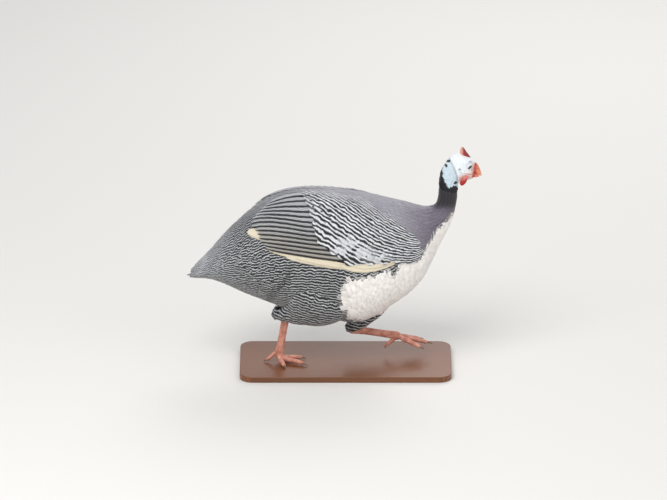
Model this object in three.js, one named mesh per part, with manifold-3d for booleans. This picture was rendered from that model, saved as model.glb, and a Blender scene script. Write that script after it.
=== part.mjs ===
// Helmeted guinea fowl, life size, stepping to the right with its left foot lifted.
// Millimetres. +X is the way the bird faces, +Y its left side, +Z up.
// The origin is the centre of the underside of its display base.

import * as THREE from 'three';
import { mergeVertices } from 'three/addons/utils/BufferGeometryUtils.js';
import Module from 'manifold-3d';

const wasm = await Module();
wasm.setup();

// Driving dimensions

const BASE_LENGTH = 350;
const BASE_WIDTH = 170;
const BASE_THICK = 10;
const BASE_CORNER = 22;
const BASE_EDGE = 1.5;
const BIRD_SHIFT = -20;      // moves the bird along X so that the base is centred under it
const GAP = 0.3;             // clearance between pieces that touch

const EYE_RADIUS = 5.0;
const EYE_AT = [224.0, 8.3, 341.3];
const LID_THICK = 1.0;
const EAR_AT = [207.2, 12.4, 337.4];
const TARSUS_DEPTH = 6.5;    // half sizes of the bare shank
const TARSUS_WIDTH = 4.3;
const WING_THICK = 3.4;
const VANE_THICK = 0.8;

// The body line, tail tip to brow: [top x, top z, bottom x, bottom z, half width]
const BODY = [
  [-243, 151.0, -241, 145.0, 14],
  [-221, 172.6, -220, 145.6, 24],
  [-201, 194.6, -200, 143.4, 34],
  [-178, 222.2, -177, 134.5, 44],
  [-146, 253.5, -146, 120.0, 58],
  [-113, 279.6, -113, 107.0, 68],
  [-75, 294.6, -75, 92.0, 74],
  [-35, 298.3, -35, 82.0, 77],
  [5, 297.0, 5, 72.5, 78],
  [40, 293.0, 40, 68.5, 77],
  [70, 286.8, 70, 80.5, 73],
  [94, 281.0, 94, 97.0, 67],
  [112, 277.0, 112, 110.0, 61],
  [130, 272.0, 130, 124.3, 54],
  [147, 268.4, 147, 144.0, 46],
  [156.6, 268.0, 157.4, 164.0, 39],
  [161.7, 269.4, 165.8, 181.7, 33.5],
  [165.0, 270.6, 177.4, 207.8, 27.5],
  [168.3, 274.1, 188.9, 230.7, 22],
  [170.8, 280.3, 197.2, 252.7, 18],
  [172.4, 288.8, 201.8, 274.3, 15.2],
  [173.0, 297.6, 203.6, 289.0, 13.8],
  [173.2, 308.5, 204.6, 299.0, 13.2],
  [174.6, 321.0, 205.0, 304.6, 13.0],
  [177.2, 332.7, 205.2, 308.4, 12.8],
  [182.6, 344.0, 207.0, 310.8, 12.8],
  [192.0, 354.8, 211.4, 312.5, 13.2],
  [203.5, 360.9, 216.1, 314.0, 13.3],
  [215.0, 359.6, 220.9, 315.6, 12.7],
  [225.3, 354.0, 225.2, 316.9, 10.9],
  [233.5, 346.4, 229.0, 318.4, 8.0],
];
const TAIL_CUT = 3;
const NECK_CUT = 17;
const HEAD_CUT = 23;
const BILL_CUT = BODY.length - 1;

// Solids

const v3 = (x, y, z) => new THREE.Vector3(x, y, z);
const mix = (a, b, t) => a + (b - a) * t;
const rad = THREE.MathUtils.degToRad;

function solidFrom(positions, faces) {
  let volume = 0;
  for (const [a, b, c] of faces) {
    volume += positions[a].dot(positions[b].clone().cross(positions[c]));
  }
  const flip = volume < 0;
  const tri = new Uint32Array(faces.length * 3);
  faces.forEach(([a, b, c], i) => tri.set(flip ? [a, c, b] : [a, b, c], i * 3));
  const pos = new Float32Array(positions.length * 3);
  positions.forEach((p, i) => pos.set([p.x, p.y, p.z], i * 3));
  return new wasm.Manifold(new wasm.Mesh({ numProp: 3, vertProperties: pos, triVerts: tri }));
}

function solidOf(geometry) {
  const bare = geometry.clone();
  bare.deleteAttribute('normal');
  bare.deleteAttribute('uv');
  const merged = mergeVertices(bare, 1e-4);
  return new wasm.Manifold(new wasm.Mesh({
    numProp: 3,
    vertProperties: new Float32Array(merged.attributes.position.array),
    triVerts: new Uint32Array(merged.index.array),
  }));
}

function geometryOf(solid) {
  const mesh = solid.getMesh();
  const count = mesh.vertProperties.length / mesh.numProp;
  const pos = new Float32Array(count * 3);
  for (let i = 0; i < count; i++) {
    for (let k = 0; k < 3; k++) pos[i * 3 + k] = mesh.vertProperties[i * mesh.numProp + k];
  }
  const geometry = new THREE.BufferGeometry();
  geometry.setAttribute('position', new THREE.BufferAttribute(pos, 3));
  geometry.setIndex(new THREE.BufferAttribute(new Uint32Array(mesh.triVerts), 1));
  geometry.computeVertexNormals();
  return geometry;
}

const join = (pieces) => pieces.reduce((all, piece) => all.add(piece));

function largest(solid) {
  return solid.decompose().sort((a, b) => b.volume() - a.volume())[0];
}

// Rings of points, each with the same count, closed at both ends.
// A ring of one point is a tip.
function skinRings(rings) {
  const positions = [];
  const starts = rings.map((ring) => {
    const start = positions.length;
    positions.push(...ring);
    return start;
  });
  const faces = [];
  for (let r = 0; r + 1 < rings.length; r++) {
    const a = starts[r];
    const b = starts[r + 1];
    const n = Math.max(rings[r].length, rings[r + 1].length);
    for (let i = 0; i < n; i++) {
      const j = (i + 1) % n;
      if (rings[r + 1].length === 1) faces.push([a + i, a + j, b]);
      else if (rings[r].length === 1) faces.push([a, b + j, b + i]);
      else faces.push([a + i, a + j, b + j], [a + i, b + j, b + i]);
    }
  }
  const cap = (start, n, turned) => {
    for (let i = 1; i + 1 < n; i++) {
      faces.push(turned ? [start, start + i, start + i + 1] : [start, start + i + 1, start + i]);
    }
  };
  if (rings[0].length > 1) cap(starts[0], rings[0].length, false);
  const last = rings.length - 1;
  if (rings[last].length > 1) cap(starts[last], rings[last].length, true);
  return solidFrom(positions, faces);
}

// The body line as a surface

function between(list, u) {
  const top = list.length - 1;
  const i = Math.min(Math.max(Math.floor(u), 0), top - 1);
  const t = u - i;
  const p0 = list[Math.max(i - 1, 0)];
  const p1 = list[i];
  const p2 = list[i + 1];
  const p3 = list[Math.min(i + 2, top)];
  return p1.map((_, k) => {
    const m1 = (p2[k] - p0[k]) / 2;
    const m2 = (p3[k] - p1[k]) / 2;
    const t2 = t * t;
    const t3 = t2 * t;
    return (2 * t3 - 3 * t2 + 1) * p1[k] + (t3 - 2 * t2 + t) * m1
      + (3 * t2 - 2 * t3) * p2[k] + (t3 - t2) * m2;
  });
}

// Angle 0 is the back, a quarter turn the left side; h stands out from the surface.
function around(list, u, angle, h = 0) {
  const [tx, tz, bx, bz, w] = between(list, u);
  const half = Math.hypot(tx - bx, tz - bz) / 2;
  const k = (half + h) / half * Math.cos(angle);
  return v3(
    (tx + bx) / 2 + (tx - bx) / 2 * k,
    (w + h) * Math.sin(angle),
    (tz + bz) / 2 + (tz - bz) / 2 * k,
  );
}

function loft(list, from, to, { step = 0.7, sides = 26, h = 0, shift = [0, 0] } = {}) {
  const steps = Math.max(1, Math.round((to - from) / step));
  const rings = [];
  for (let i = 0; i <= steps; i++) {
    const u = mix(from, to, i / steps);
    const ring = [];
    for (let k = 0; k < sides; k++) ring.push(around(list, u, 2 * Math.PI * k / sides, h));
    rings.push(ring);
  }
  const move = (ring, [dx, dz]) => ring.forEach((p) => p.add(v3(dx, 0, dz)));
  if (shift[0]) move(rings[0], across(list, from, shift[0]));
  if (shift[1]) move(rings[steps], across(list, to, -shift[1]));
  return skinRings(rings);
}

// A step square to the section at u, towards the head.
function across(list, u, distance) {
  const [tx, tz, bx, bz] = between(list, u);
  const half = Math.hypot(tx - bx, tz - bz);
  return [(tz - bz) / half * distance, -(tx - bx) / half * distance];
}

function stationAt(x) {
  let low = 0;
  let high = NECK_CUT;
  for (let i = 0; i < 24; i++) {
    const middle = (low + high) / 2;
    const [tx, , bx] = between(BODY, middle);
    if ((tx + bx) / 2 < x) low = middle;
    else high = middle;
  }
  return (low + high) / 2;
}

const onBody = (x, angle, h) => around(BODY, stationAt(x), angle, h);

// Feathers

// Millimetres of skin per radian of angle at a place on the body.
function girthRate(x, angle) {
  const [tx, tz, bx, bz, w] = between(BODY, stationAt(x));
  const half = Math.hypot(tx - bx, tz - bz) / 2;
  return Math.hypot(w * Math.cos(angle), half * Math.sin(angle));
}

const LONG_VANE = [[0, 0.5], [0.34, 0.92], [0.68, 1], [0.9, 0.74]];
const SHORT_VANE = [[0, 0.55], [0.5, 1], [0.86, 0.8]];
const TAIL_VANE = [[0, 0.6], [0.42, 1], [0.84, 0.55]];

// One vane, on the left for side 1 and the right for -1. From and to are [x, angle] of its root
// and its tip, with the angle in degrees.
// rise and tip are the heights of its upper face over the skin; its under face
// leaves the skin only near the tip. bow bends it, in degrees of angle.
function vane(side, options) {
  const { from, to, width, rise, tip, under = -1.5, bow = 0, crown = 0.5, form = LONG_VANE } = options;
  const centre = (t) => [
    mix(from[0], to[0], t),
    rad(mix(from[1], to[1], t) + bow * 4 * t * (1 - t)),
  ];
  const rings = form.map(([t, share]) => {
    const [x, a] = centre(t);
    const [x2, a2] = centre(t + 0.01);
    const rate = girthRate(x, a);
    const along = new THREE.Vector2(x2 - x, (a2 - a) * rate).normalize();
    const half = width * share / 2;
    const high = mix(rise, tip, t);
    const low = mix(under, tip - VANE_THICK, t * t * t);
    const at = (edge, h) =>
      onBody(x - along.y * half * edge, side * (a + along.x * half * edge / rate), h);
    return [at(-1, high - crown), at(0, high), at(1, high - crown), at(0, low - crown)];
  });
  const [x, a] = centre(1);
  rings.push([onBody(x, side * a, tip - VANE_THICK / 2 - crown / 2)]);
  return skinRings(rings);
}

// A lens of wing or tail flesh that the quills are rooted in: edges are angle
// curves over x, in degrees.
function pad(side, { xs, upper, lower, high, low = -2.5, rows = 4 }) {
  const columns = xs.length;
  const positions = [];
  const index = (i, j, face) => (face * columns + i) * (rows + 1) + j;
  for (const face of [0, 1]) {
    xs.forEach((x, i) => {
      for (let j = 0; j <= rows; j++) {
        const a = rad(mix(upper[i], lower[i], j / rows));
        const rim = Math.min(1, Math.sin(Math.PI * (j + 0.35) / (rows + 0.7)) * 1.6);
        const ends = Math.min(1, 0.25 + Math.sin(Math.PI * (i + 0.3) / (columns - 0.4)) * 1.4);
        positions.push(onBody(x, side * a, face ? low : high * rim * ends));
      }
    });
  }
  const faces = [];
  const quad = (a, b, c, d) => faces.push([a, b, c], [a, c, d]);
  for (let i = 0; i + 1 < columns; i++) {
    for (let j = 0; j < rows; j++) {
      quad(index(i, j, 0), index(i + 1, j, 0), index(i + 1, j + 1, 0), index(i, j + 1, 0));
      quad(index(i, j, 1), index(i, j + 1, 1), index(i + 1, j + 1, 1), index(i + 1, j, 1));
    }
    quad(index(i, 0, 0), index(i, 0, 1), index(i + 1, 0, 1), index(i + 1, 0, 0));
    quad(index(i, rows, 0), index(i + 1, rows, 0), index(i + 1, rows, 1), index(i, rows, 1));
  }
  for (let j = 0; j < rows; j++) {
    quad(index(0, j, 0), index(0, j + 1, 0), index(0, j + 1, 1), index(0, j, 1));
    const e = columns - 1;
    quad(index(e, j, 0), index(e, j, 1), index(e, j + 1, 1), index(e, j + 1, 0));
  }
  return solidFrom(positions, faces);
}

// Wing: four tiers of coverts over eight secondaries, the primaries folded beneath.
// A row of tips runs between two places, [x, angle], at its top and bottom.
const WING_ROWS = [
  { count: 7, tips: [[-48, 20], [-4, 82]], length: 44, width: 23, rise: 2.4, tip: 6.0, lean: -3 },
  { count: 6, tips: [[-16, 25], [32, 87]], length: 42, width: 24, rise: 2.2, tip: 6.2, lean: -4 },
  { count: 5, tips: [[20, 32], [64, 88]], length: 40, width: 24, rise: 1.6, tip: 5.8, lean: -6 },
  { count: 4, tips: [[56, 43], [94, 87]], length: 36, width: 22, rise: -0.6, tip: 4.6, lean: -7 },
];

function wingSolid(side) {
  const pieces = [pad(side, {
    xs: [-62, -35, -5, 30, 65, 96, 120],
    upper: [22, 20, 22, 28, 40, 53, 64],
    lower: [80, 84, 86, 87, 87, 86, 84],
    high: WING_THICK,
  })];
  for (let i = 0; i < 3; i++) {
    const t = i / 2;
    pieces.push(vane(side, {
      from: [mix(6, 46, t), mix(77, 86, t)], to: [mix(-118, -72, t), mix(67, 84, t)],
      width: 20, rise: mix(2.2, 1.4, t), tip: mix(2.6, 1.8, t), bow: 2,
    }));
  }
  for (let i = 0; i < 8; i++) {
    const t = i / 7;
    pieces.push(vane(side, {
      from: [mix(-14, 18, t), mix(22, 78, t)],
      to: [-131 + 40 * Math.pow(1 - t, 2.2) + 8 * t * t, mix(22, 63, Math.pow(t, 0.75))],
      width: 20, rise: mix(4.4, 2.8, t), tip: mix(4.4, 2.6, t), bow: mix(-2, 3, t),
    }));
  }
  for (const row of WING_ROWS) {
    for (let i = 0; i < row.count; i++) {
      const t = i / (row.count - 1);
      const x = mix(row.tips[0][0], row.tips[1][0], t) - 7 * Math.sin(Math.PI * t);
      const a = mix(row.tips[0][1], row.tips[1][1], t);
      pieces.push(vane(side, {
        from: [x + row.length, a + row.lean], to: [x, a],
        width: row.width, rise: row.rise, tip: row.tip - 1.2 * t, form: SHORT_VANE,
      }));
    }
  }
  return join(pieces);
}

// Tail: drooping rectrices, two tiers of coverts above, one below. A row gives the
// first feather's angle, the step to the next and the lengths, for each side.
const TAIL_ROWS = [
  { count: 4, first: 14, step: 32, root: -186, tip: -243,
    fade: 3.6, pinch: 0.82, width: 25, rise: -1.0, high: 0.8 },
  { count: 3, first: 17, step: 34, root: -180, tip: -221,
    fade: 2, pinch: 1, width: 28, rise: 0, high: 1.8 },
  { count: 2, first: 21, step: 42, root: -168, tip: -200,
    fade: 2, pinch: 1, width: 33, rise: 0.7, high: 2.2 },
  { count: 2, first: 134, step: 28, root: -176, tip: -216,
    fade: -4, pinch: 1, width: 28, rise: 0.4, high: 1.6 },
];

function tailSolid() {
  const pieces = [loft(BODY, 0.55, TAIL_CUT, { step: 1.2, sides: 12, h: -3, shift: [0, GAP] })];
  for (const side of [1, -1]) {
    for (const row of TAIL_ROWS) {
      for (let i = 0; i < row.count; i++) {
        const a = row.first + row.step * i;
        pieces.push(vane(side, {
          from: [row.root, a], to: [row.tip + row.fade * i, a * row.pinch],
          width: row.width, rise: row.rise, tip: row.high - 0.1 * i, under: -3.6, crown: 0.4,
          form: row.pinch < 1 ? TAIL_VANE : SHORT_VANE,
        }));
      }
    }
  }
  return join(pieces);
}

// Limbs: rings along a path, each [x, y, z, half depth, half width]
function limb(path, sides = 12, reference = v3(0, 0, 1), extra = 0) {
  const points = path.map(([x, y, z]) => v3(x, y, z));
  const rings = path.map(([, , , depth, width], i) => {
    if (!depth) return [points[i]];
    const ahead = points[Math.min(i + 1, points.length - 1)].clone();
    const along = ahead.sub(points[Math.max(i - 1, 0)]).normalize();
    const side = reference.clone().cross(along).normalize();
    const up = along.clone().cross(side);
    return Array.from({ length: sides }, (_, k) => {
      const a = 2 * Math.PI * (k + 0.5) / sides;
      return points[i].clone()
        .addScaledVector(up, (depth + extra) * Math.cos(a))
        .addScaledVector(side, (width + extra) * Math.sin(a));
    });
  });
  return skinRings(rings);
}

function ball([x, y, z], [rx, ry, rz], turn = [0, 0, 0], detail = 16) {
  const geometry = new THREE.SphereGeometry(1, detail, Math.round(detail * 0.6));
  geometry.scale(rx, ry, rz);
  geometry.rotateX(turn[0]);
  geometry.rotateY(turn[1]);
  geometry.rotateZ(turn[2]);
  geometry.translate(x, y, z);
  return solidOf(geometry);
}

function block(sx, sy, sz, [x, y, z], turn = [0, 0, 0]) {
  const geometry = new THREE.BoxGeometry(sx, sy, sz);
  geometry.rotateY(turn[1]);
  geometry.rotateZ(turn[2]);
  geometry.translate(x, y, z);
  return solidOf(geometry);
}

// A slab that takes away all on one side of a plane through p with normal n.
function beyond(p, n, reach = 80) {
  const geometry = new THREE.BoxGeometry(reach * 2, reach * 2, reach);
  geometry.translate(0, 0, reach / 2);
  geometry.applyQuaternion(new THREE.Quaternion().setFromUnitVectors(v3(0, 0, 1), n.clone().normalize()));
  geometry.translate(p.x, p.y, p.z);
  return solidOf(geometry);
}

// Head

const faceWay = [across(BODY, BILL_CUT, 1)[0], 0, across(BODY, BILL_CUT, 1)[1]];

// The middle of the face's front, where the bill starts, moved ahead by a distance.
function faceFront(ahead) {
  const [tx, tz, bx, bz] = between(BODY, BILL_CUT);
  return v3((tx + bx) / 2, 0, (tz + bz) / 2).addScaledVector(v3(...faceWay), ahead);
}

const clearOfFace = (solid) => solid.subtract(beyond(faceFront(GAP), v3(...faceWay).negate()));

const sided = (side, [x, y, z]) => [x, side * y, z];

function headSolid() {
  let head = loft(BODY, HEAD_CUT, BILL_CUT, { sides: 20, shift: [GAP, 0] });
  for (const side of [-1, 1]) {
    const eye = sided(side, EYE_AT);
    const slant = rad(-40);
    head = head
      .add(ball(eye, [EYE_RADIUS + 1.6, EYE_RADIUS + LID_THICK, EYE_RADIUS + 0.9], [0, slant, 0], 10))
      .subtract(ball(eye, [EYE_RADIUS + GAP, EYE_RADIUS + GAP, EYE_RADIUS + GAP], [0, 0, 0], 12))
      .subtract(ball([eye[0], eye[1] + side * 5, eye[2]], [3.7, 4, 2.3], [0, slant, 0], 8));
    const ear = sided(side, EAR_AT);
    head = head
      .add(ball(ear, [3.0, 1.4, 3.4], [0, 0, 0], 8))
      .subtract(ball([ear[0], ear[1] + side * 1.4, ear[2]], [1.7, 2.2, 2.1], [0, 0, 0], 6));
    head = head.add(limb([
      [230.6, side * 6.8, 326.2, 1.3, 1.3], [224, side * 10.6, 327.6, 1.7, 1.5],
      [216, side * 12.4, 329.4, 1.6, 1.2], [208, side * 12.9, 330.6, 1.0, 0.8],
    ], 6));
    head = head.subtract(limb([
      [236, side * 8.2, 325.8, 0.45, 1.4], [226, side * 12.5, 327.6, 0.45, 1.6],
      [217, side * 14.6, 329.4, 0.4, 1.4], [210, side * 14.8, 330.6, 0.3, 0.9],
    ], 4));
  }
  return head.subtract(beyond(faceFront(0), v3(...faceWay)));
}

const UPPER_BILL = [
  [233.2, 345.2, 230.9, 329.4, 7.0],
  [236.4, 342.4, 233.1, 327.8, 6.0],
  [239.2, 337.6, 236.3, 325.8, 4.7],
  [241.6, 331.8, 239.4, 324.1, 3.1],
  [243.1, 325.8, 241.6, 322.6, 1.5],
  [243.3, 322.2, 242.7, 321.8, 0.5],
];
const LOWER_BILL = [
  [230.6, 328.9, 229.4, 320.0, 6.4],
  [233.4, 327.2, 233.0, 319.9, 5.2],
  [236.6, 325.0, 236.4, 320.2, 3.6],
  [239.6, 323.2, 239.4, 321.2, 1.7],
];

function upperBillSolid() {
  let bill = loft(UPPER_BILL, 0, 5, { step: 1, sides: 14 });
  for (const side of [-1, 1]) {
    bill = bill
      .add(ball([234.9, side * 5.2, 336.4], [3.2, 1.8, 2.4], [0, rad(30), 0], 8))
      .subtract(ball([235.7, side * 7.0, 336.0], [1.7, 1.6, 0.8], [0, rad(30), 0], 8));
  }
  return clearOfFace(bill);
}

const CASQUE = [
  [354.0, 215.0, 10.6, 5.2], [358.5, 214.6, 8.0, 4.4], [362.5, 214.2, 5.8, 3.7],
  [366.5, 213.9, 4.3, 3.1], [369.8, 213.7, 3.0, 2.3], [371.8, 213.6, 1.4, 1.1],
];

function casqueSolid() {
  const rings = CASQUE.map(([z, x, length, width]) => Array.from({ length: 12 }, (_, k) => {
    const a = 2 * Math.PI * k / 12;
    return v3(x + length * Math.cos(a) - 0.12 * (z - 354), width * Math.sin(a), z);
  }));
  rings.push([v3(211.4, 0, 372.3)]);
  return skinRings(rings);
}

// A wattle: a hanging leaf with two folds and a thick lower edge.
function wattleSolid(side) {
  const rows = [
    [326.0, 219.0, 3.6, 1.5], [322.6, 217.0, 4.8, 1.9], [318.8, 214.8, 5.6, 2.0],
    [315.0, 212.8, 5.4, 2.4], [312.0, 211.6, 4.0, 2.6], [310.2, 211.2, 2.0, 1.5],
  ];
  const rings = rows.map(([z, x, length, thick], r) => Array.from({ length: 14 }, (_, k) => {
    const a = 2 * Math.PI * k / 14;
    const fold = 0.55 * Math.sin(2 * Math.PI * Math.cos(a) * 0.9 + r * 0.5);
    const flare = 11.6 + 0.10 * (326 - z);
    return v3(x + length * Math.cos(a), side * (flare + fold + thick * Math.sin(a)), z);
  }));
  rings.push([v3(211.0, side * 13.2, 309.4)]);
  return skinRings(rings);
}

// Legs

const RIGHT_HOCK = [-77, -20, 93];
const RIGHT_FOOT = [-90, -15, 16.5];
const LEFT_HOCK = [29, 17, 47];
const LEFT_FOOT = [107.5, 17, 35];

function shankPath([hx, hy, hz], [fx, fy, fz]) {
  const at = (t, depth, width) => [mix(hx, fx, t), mix(hy, fy, t), mix(hz, fz, t), depth, width];
  return [
    at(0.06, TARSUS_DEPTH * 1.22, TARSUS_WIDTH * 1.5),
    at(0.16, TARSUS_DEPTH * 1.06, TARSUS_WIDTH * 1.15),
    at(0.32, TARSUS_DEPTH * 0.95, TARSUS_WIDTH),
    at(0.62, TARSUS_DEPTH * 0.93, TARSUS_WIDTH),
    at(0.84, TARSUS_DEPTH * 1.0, TARSUS_WIDTH * 1.12),
    at(0.93, TARSUS_DEPTH * 1.1, TARSUS_WIDTH * 1.4),
  ];
}

// The shank's end, with the clearance that the foot keeps from it.
function shankEnd(hock, foot) {
  const t = 0.935;
  return [0, 1, 2].map((k) => mix(hock[k], foot[k], t)).concat([TARSUS_DEPTH * 1.1, TARSUS_WIDTH * 1.4]);
}

// Toes: name, path of joints [x, y, z] from the foot's centre, and the length of the claw.
const RIGHT_TOES = {
  inner: {
    path: [[-90, -13, 12], [-79, -8, 6.2], [-66, -5, 5.0], [-55, -3.4, 4.4]],
    claw: [-46, -2.6, 1.1],
  },
  middle: {
    path: [[-90, -15, 12], [-77, -19, 6.4], [-63, -25, 5.4], [-52, -30, 4.6]],
    claw: [-42, -35, 1.1],
  },
  outer: {
    path: [[-90, -17, 12], [-87, -25, 6.2], [-84, -34, 5.2], [-81.5, -41, 4.4]],
    claw: [-79.4, -48, 1.1],
  },
  hind: {
    path: [[-89, -14, 24], [-97, -14, 15.5], [-105, -14, 8.4], [-109.5, -14, 4.6]],
    claw: [-115, -14, 1.1],
  },
};
const LEFT_TOES = {
  inner: {
    path: [[107, 15.5, 34.6], [118, 9, 31], [131, 2.4, 27], [142, -3.2, 23.6]],
    claw: [151, -7.6, 20],
  },
  middle: {
    path: [[108, 17, 35], [122, 17.2, 31.4], [138, 17.6, 27.4], [153, 18, 23.6]],
    claw: [165, 18.2, 19.6],
  },
  outer: {
    path: [[107, 18.5, 34.4], [118, 24, 30.6], [131, 29.6, 26.6], [141.5, 34, 23.4]],
    claw: [150.5, 38, 19.8],
  },
  hind: {
    path: [[105, 17, 32], [97, 16.8, 26.4], [91, 16.8, 21.4], [87.4, 16.8, 17.6]],
    claw: [85, 16.8, 12.6],
  },
};

function toeSolid({ path }, small) {
  const k = small ? 0.8 : 1;
  const rings = [];
  path.forEach(([x, y, z], i) => {
    const size = [4.6, 4.4, 3.9, 3.2][i] * k;
    rings.push([x, y, z, size, size * 0.98]);
    if (i + 1 < path.length) {
      const [x2, y2, z2] = path[i + 1];
      rings.push([(x + x2) / 2, (y + y2) / 2, (z + z2) / 2 + 0.3, size * 0.86, size * 0.86]);
    }
  });
  const [ax, ay, az] = path[path.length - 2];
  const [bx, by, bz] = path[path.length - 1];
  const t = 3.2 * k / Math.hypot(bx - ax, by - ay, bz - az);
  rings.push([bx + (bx - ax) * t, by + (by - ay) * t, bz + (bz - az) * t, 1.6 * k, 1.7 * k]);
  return limb(rings, 6);
}

function clawSolid({ path, claw }, small) {
  const k = small ? 0.85 : 1;
  const [bx, by, bz] = path[path.length - 1];
  const at = (t, lift, r) =>
    [mix(bx, claw[0], t), mix(by, claw[1], t), mix(bz, claw[2], t) + lift, r * k, r * 0.8 * k];
  return limb([at(0.05, 0.2, 2.0), at(0.4, 0.9, 2.0), at(0.75, 0.8, 1.3), at(1, 0, 0)], 8);
}

const FOOT_LEVEL = GAP;
const ground = block(700, 400, 60, [0, 0, FOOT_LEVEL - 30]);

function footSolid(toes, centre, size) {
  const parts = Object.entries(toes).map(([name, toe]) => toeSolid(toe, name === 'hind'));
  parts.push(ball(centre, size, [0, 0, 0], 10));
  return join(parts);
}

// Thighs: the feathered upper leg, from inside the flank to the hock
const RIGHT_THIGH = [
  [-8, -38, 152, 52, 34], [-20, -38, 134, 57, 36], [-32, -36, 117, 56, 33],
  [-46, -32, 103, 45, 26], [-60, -27, 95, 32, 20], [-72, -24, 90.5, 24, 16],
  [-84, -22, 88.5, 18.5, 13], [-95, -21, 90, 12.5, 9.5], [-101, -21, 92, 6, 5],
];
const LEFT_THIGH = [
  [60, 40, 136, 46, 26], [64, 40, 116, 44, 26], [62, 38, 96, 37, 24],
  [56, 33, 78, 27, 18], [46, 25, 64, 18, 13], [36, 19.5, 54.5, 13.5, 10.5],
  [27, 17.5, 49.5, 10.2, 8.5], [20, 17, 47.5, 5, 4.5],
];

// Base

function baseSolid() {
  const shape = new THREE.Shape();
  const x = BASE_LENGTH / 2 - BASE_EDGE;
  const y = BASE_WIDTH / 2 - BASE_EDGE;
  const r = BASE_CORNER - BASE_EDGE;
  shape.moveTo(-x + r, -y);
  shape.lineTo(x - r, -y);
  shape.absarc(x - r, -y + r, r, -Math.PI / 2, 0);
  shape.lineTo(x, y - r);
  shape.absarc(x - r, y - r, r, 0, Math.PI / 2);
  shape.lineTo(-x + r, y);
  shape.absarc(-x + r, y - r, r, Math.PI / 2, Math.PI);
  shape.lineTo(-x, -y + r);
  shape.absarc(-x + r, -y + r, r, Math.PI, Math.PI * 1.5);
  const geometry = new THREE.ExtrudeGeometry(shape, {
    depth: BASE_THICK - 2 * BASE_EDGE, bevelThickness: BASE_EDGE, bevelSize: BASE_EDGE,
    bevelSegments: 1, curveSegments: 3,
  });
  geometry.translate(0, 0, BASE_EDGE);
  return solidOf(geometry);
}

// The pieces, with their colours

const model = new THREE.Group();
const bird = new THREE.Group();
bird.position.set(BIRD_SHIFT, 0, BASE_THICK);
model.add(bird);

function put(name, solid, color, roughness = 0.8, group = bird) {
  const mesh = new THREE.Mesh(
    geometryOf(largest(solid)),
    new THREE.MeshStandardMaterial({ color, roughness, metalness: 0 }),
  );
  mesh.name = name;
  group.add(mesh);
}

const SLATE = 0x4b4d55;
const SKIN = 0xe3e8ee;
const RED = 0xb5302a;
const HORN = 0xe29a7c;
const LEG = 0xc9774f;
const CLAW = 0x8a6a56;

put('stand_base', baseSolid(), 0x6b4a31, 0.6, model);

const torso = loft(BODY, TAIL_CUT, NECK_CUT);
const torsoClear = loft(BODY, TAIL_CUT, NECK_CUT, { h: GAP, shift: [-GAP, -GAP] });
put('torso', torso, SLATE);
put('neck', loft(BODY, NECK_CUT, HEAD_CUT, { sides: 24, shift: [GAP, 0] }), 0xb9c4d2);

const head = headSolid();
put('head', head, SKIN, 0.7);
const headClear = loft(BODY, HEAD_CUT, BILL_CUT, { sides: 20, h: GAP });
put('casque', casqueSolid().subtract(headClear), 0xa8544a, 0.7);

const upperBill = upperBillSolid();
const upperBillClear = loft(UPPER_BILL, 0, 5, { step: 1, sides: 14, h: GAP });
put('bill_upper', upperBill, HORN, 0.5);
const lowerBill = loft(LOWER_BILL, 0, 3, { step: 1, sides: 14 }).subtract(upperBillClear);
put('bill_lower', clearOfFace(lowerBill), HORN, 0.5);

for (const [word, side] of [['left', 1], ['right', -1]]) {
  const eyeball = ball(sided(side, EYE_AT), [EYE_RADIUS, EYE_RADIUS, EYE_RADIUS], [0, 0, 0], 12);
  put(`eye_${word}`, eyeball, 0x231a17, 0.15);
  put(`wattle_${word}`, wattleSolid(side).subtract(headClear), RED, 0.6);
}

const rightThigh = limb(RIGHT_THIGH, 18, v3(1, 0, 0)).subtract(torsoClear);
const leftThigh = limb(LEFT_THIGH, 18, v3(1, 0, 0)).subtract(torsoClear);
put('thigh_right', rightThigh, SLATE);
put('thigh_left', leftThigh, SLATE);

put('wing_left', wingSolid(1).subtract(torsoClear), 0x6e6f74);
put('wing_right', wingSolid(-1).subtract(torsoClear), 0x6e6f74);
put('tail', tailSolid().subtract(torsoClear), SLATE);

const legs = [
  {
    word: 'right', hock: RIGHT_HOCK, foot: RIGHT_FOOT, toes: RIGHT_TOES,
    thigh: rightThigh, level: v3(1, 0, 0), pad: [[-89, -15, 13], [7.4, 6.8, 7.2]],
  },
  {
    word: 'left', hock: LEFT_HOCK, foot: LEFT_FOOT, toes: LEFT_TOES,
    thigh: leftThigh, level: v3(0, 0, 1), pad: [[106, 17, 34.4], [7.2, 6.8, 6.4]],
  },
];
for (const { word, hock, foot, toes, thigh, level, pad: [centre, size] } of legs) {
  const path = shankPath(hock, foot);
  put(`shank_${word}`, limb(path, 12, level).subtract(thigh), LEG, 0.55);
  const tips = [limb(path, 12, level, GAP), limb([path[5], shankEnd(hock, foot)], 12, level, GAP)];
  for (const [name, toe] of Object.entries(toes)) {
    const [bx, by, bz] = toe.path[toe.path.length - 1];
    const way = v3(toe.claw[0] - bx, toe.claw[1] - by, toe.claw[2] - bz).normalize();
    const root = v3(bx, by, bz).addScaledVector(way, 1.6);
    const behind = beyond(root.clone().addScaledVector(way, GAP), way.clone().negate(), 12);
    const claw = clawSolid(toe, name === 'hind').subtract(behind).subtract(ground);
    put(`claw_${word}_${name}`, claw, CLAW, 0.4);
    tips.push(beyond(root, way, 12));
  }
  put(`foot_${word}`, footSolid(toes, centre, size).subtract(join(tips)).subtract(ground), LEG, 0.55);
}

export default model;
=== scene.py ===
import math

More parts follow.
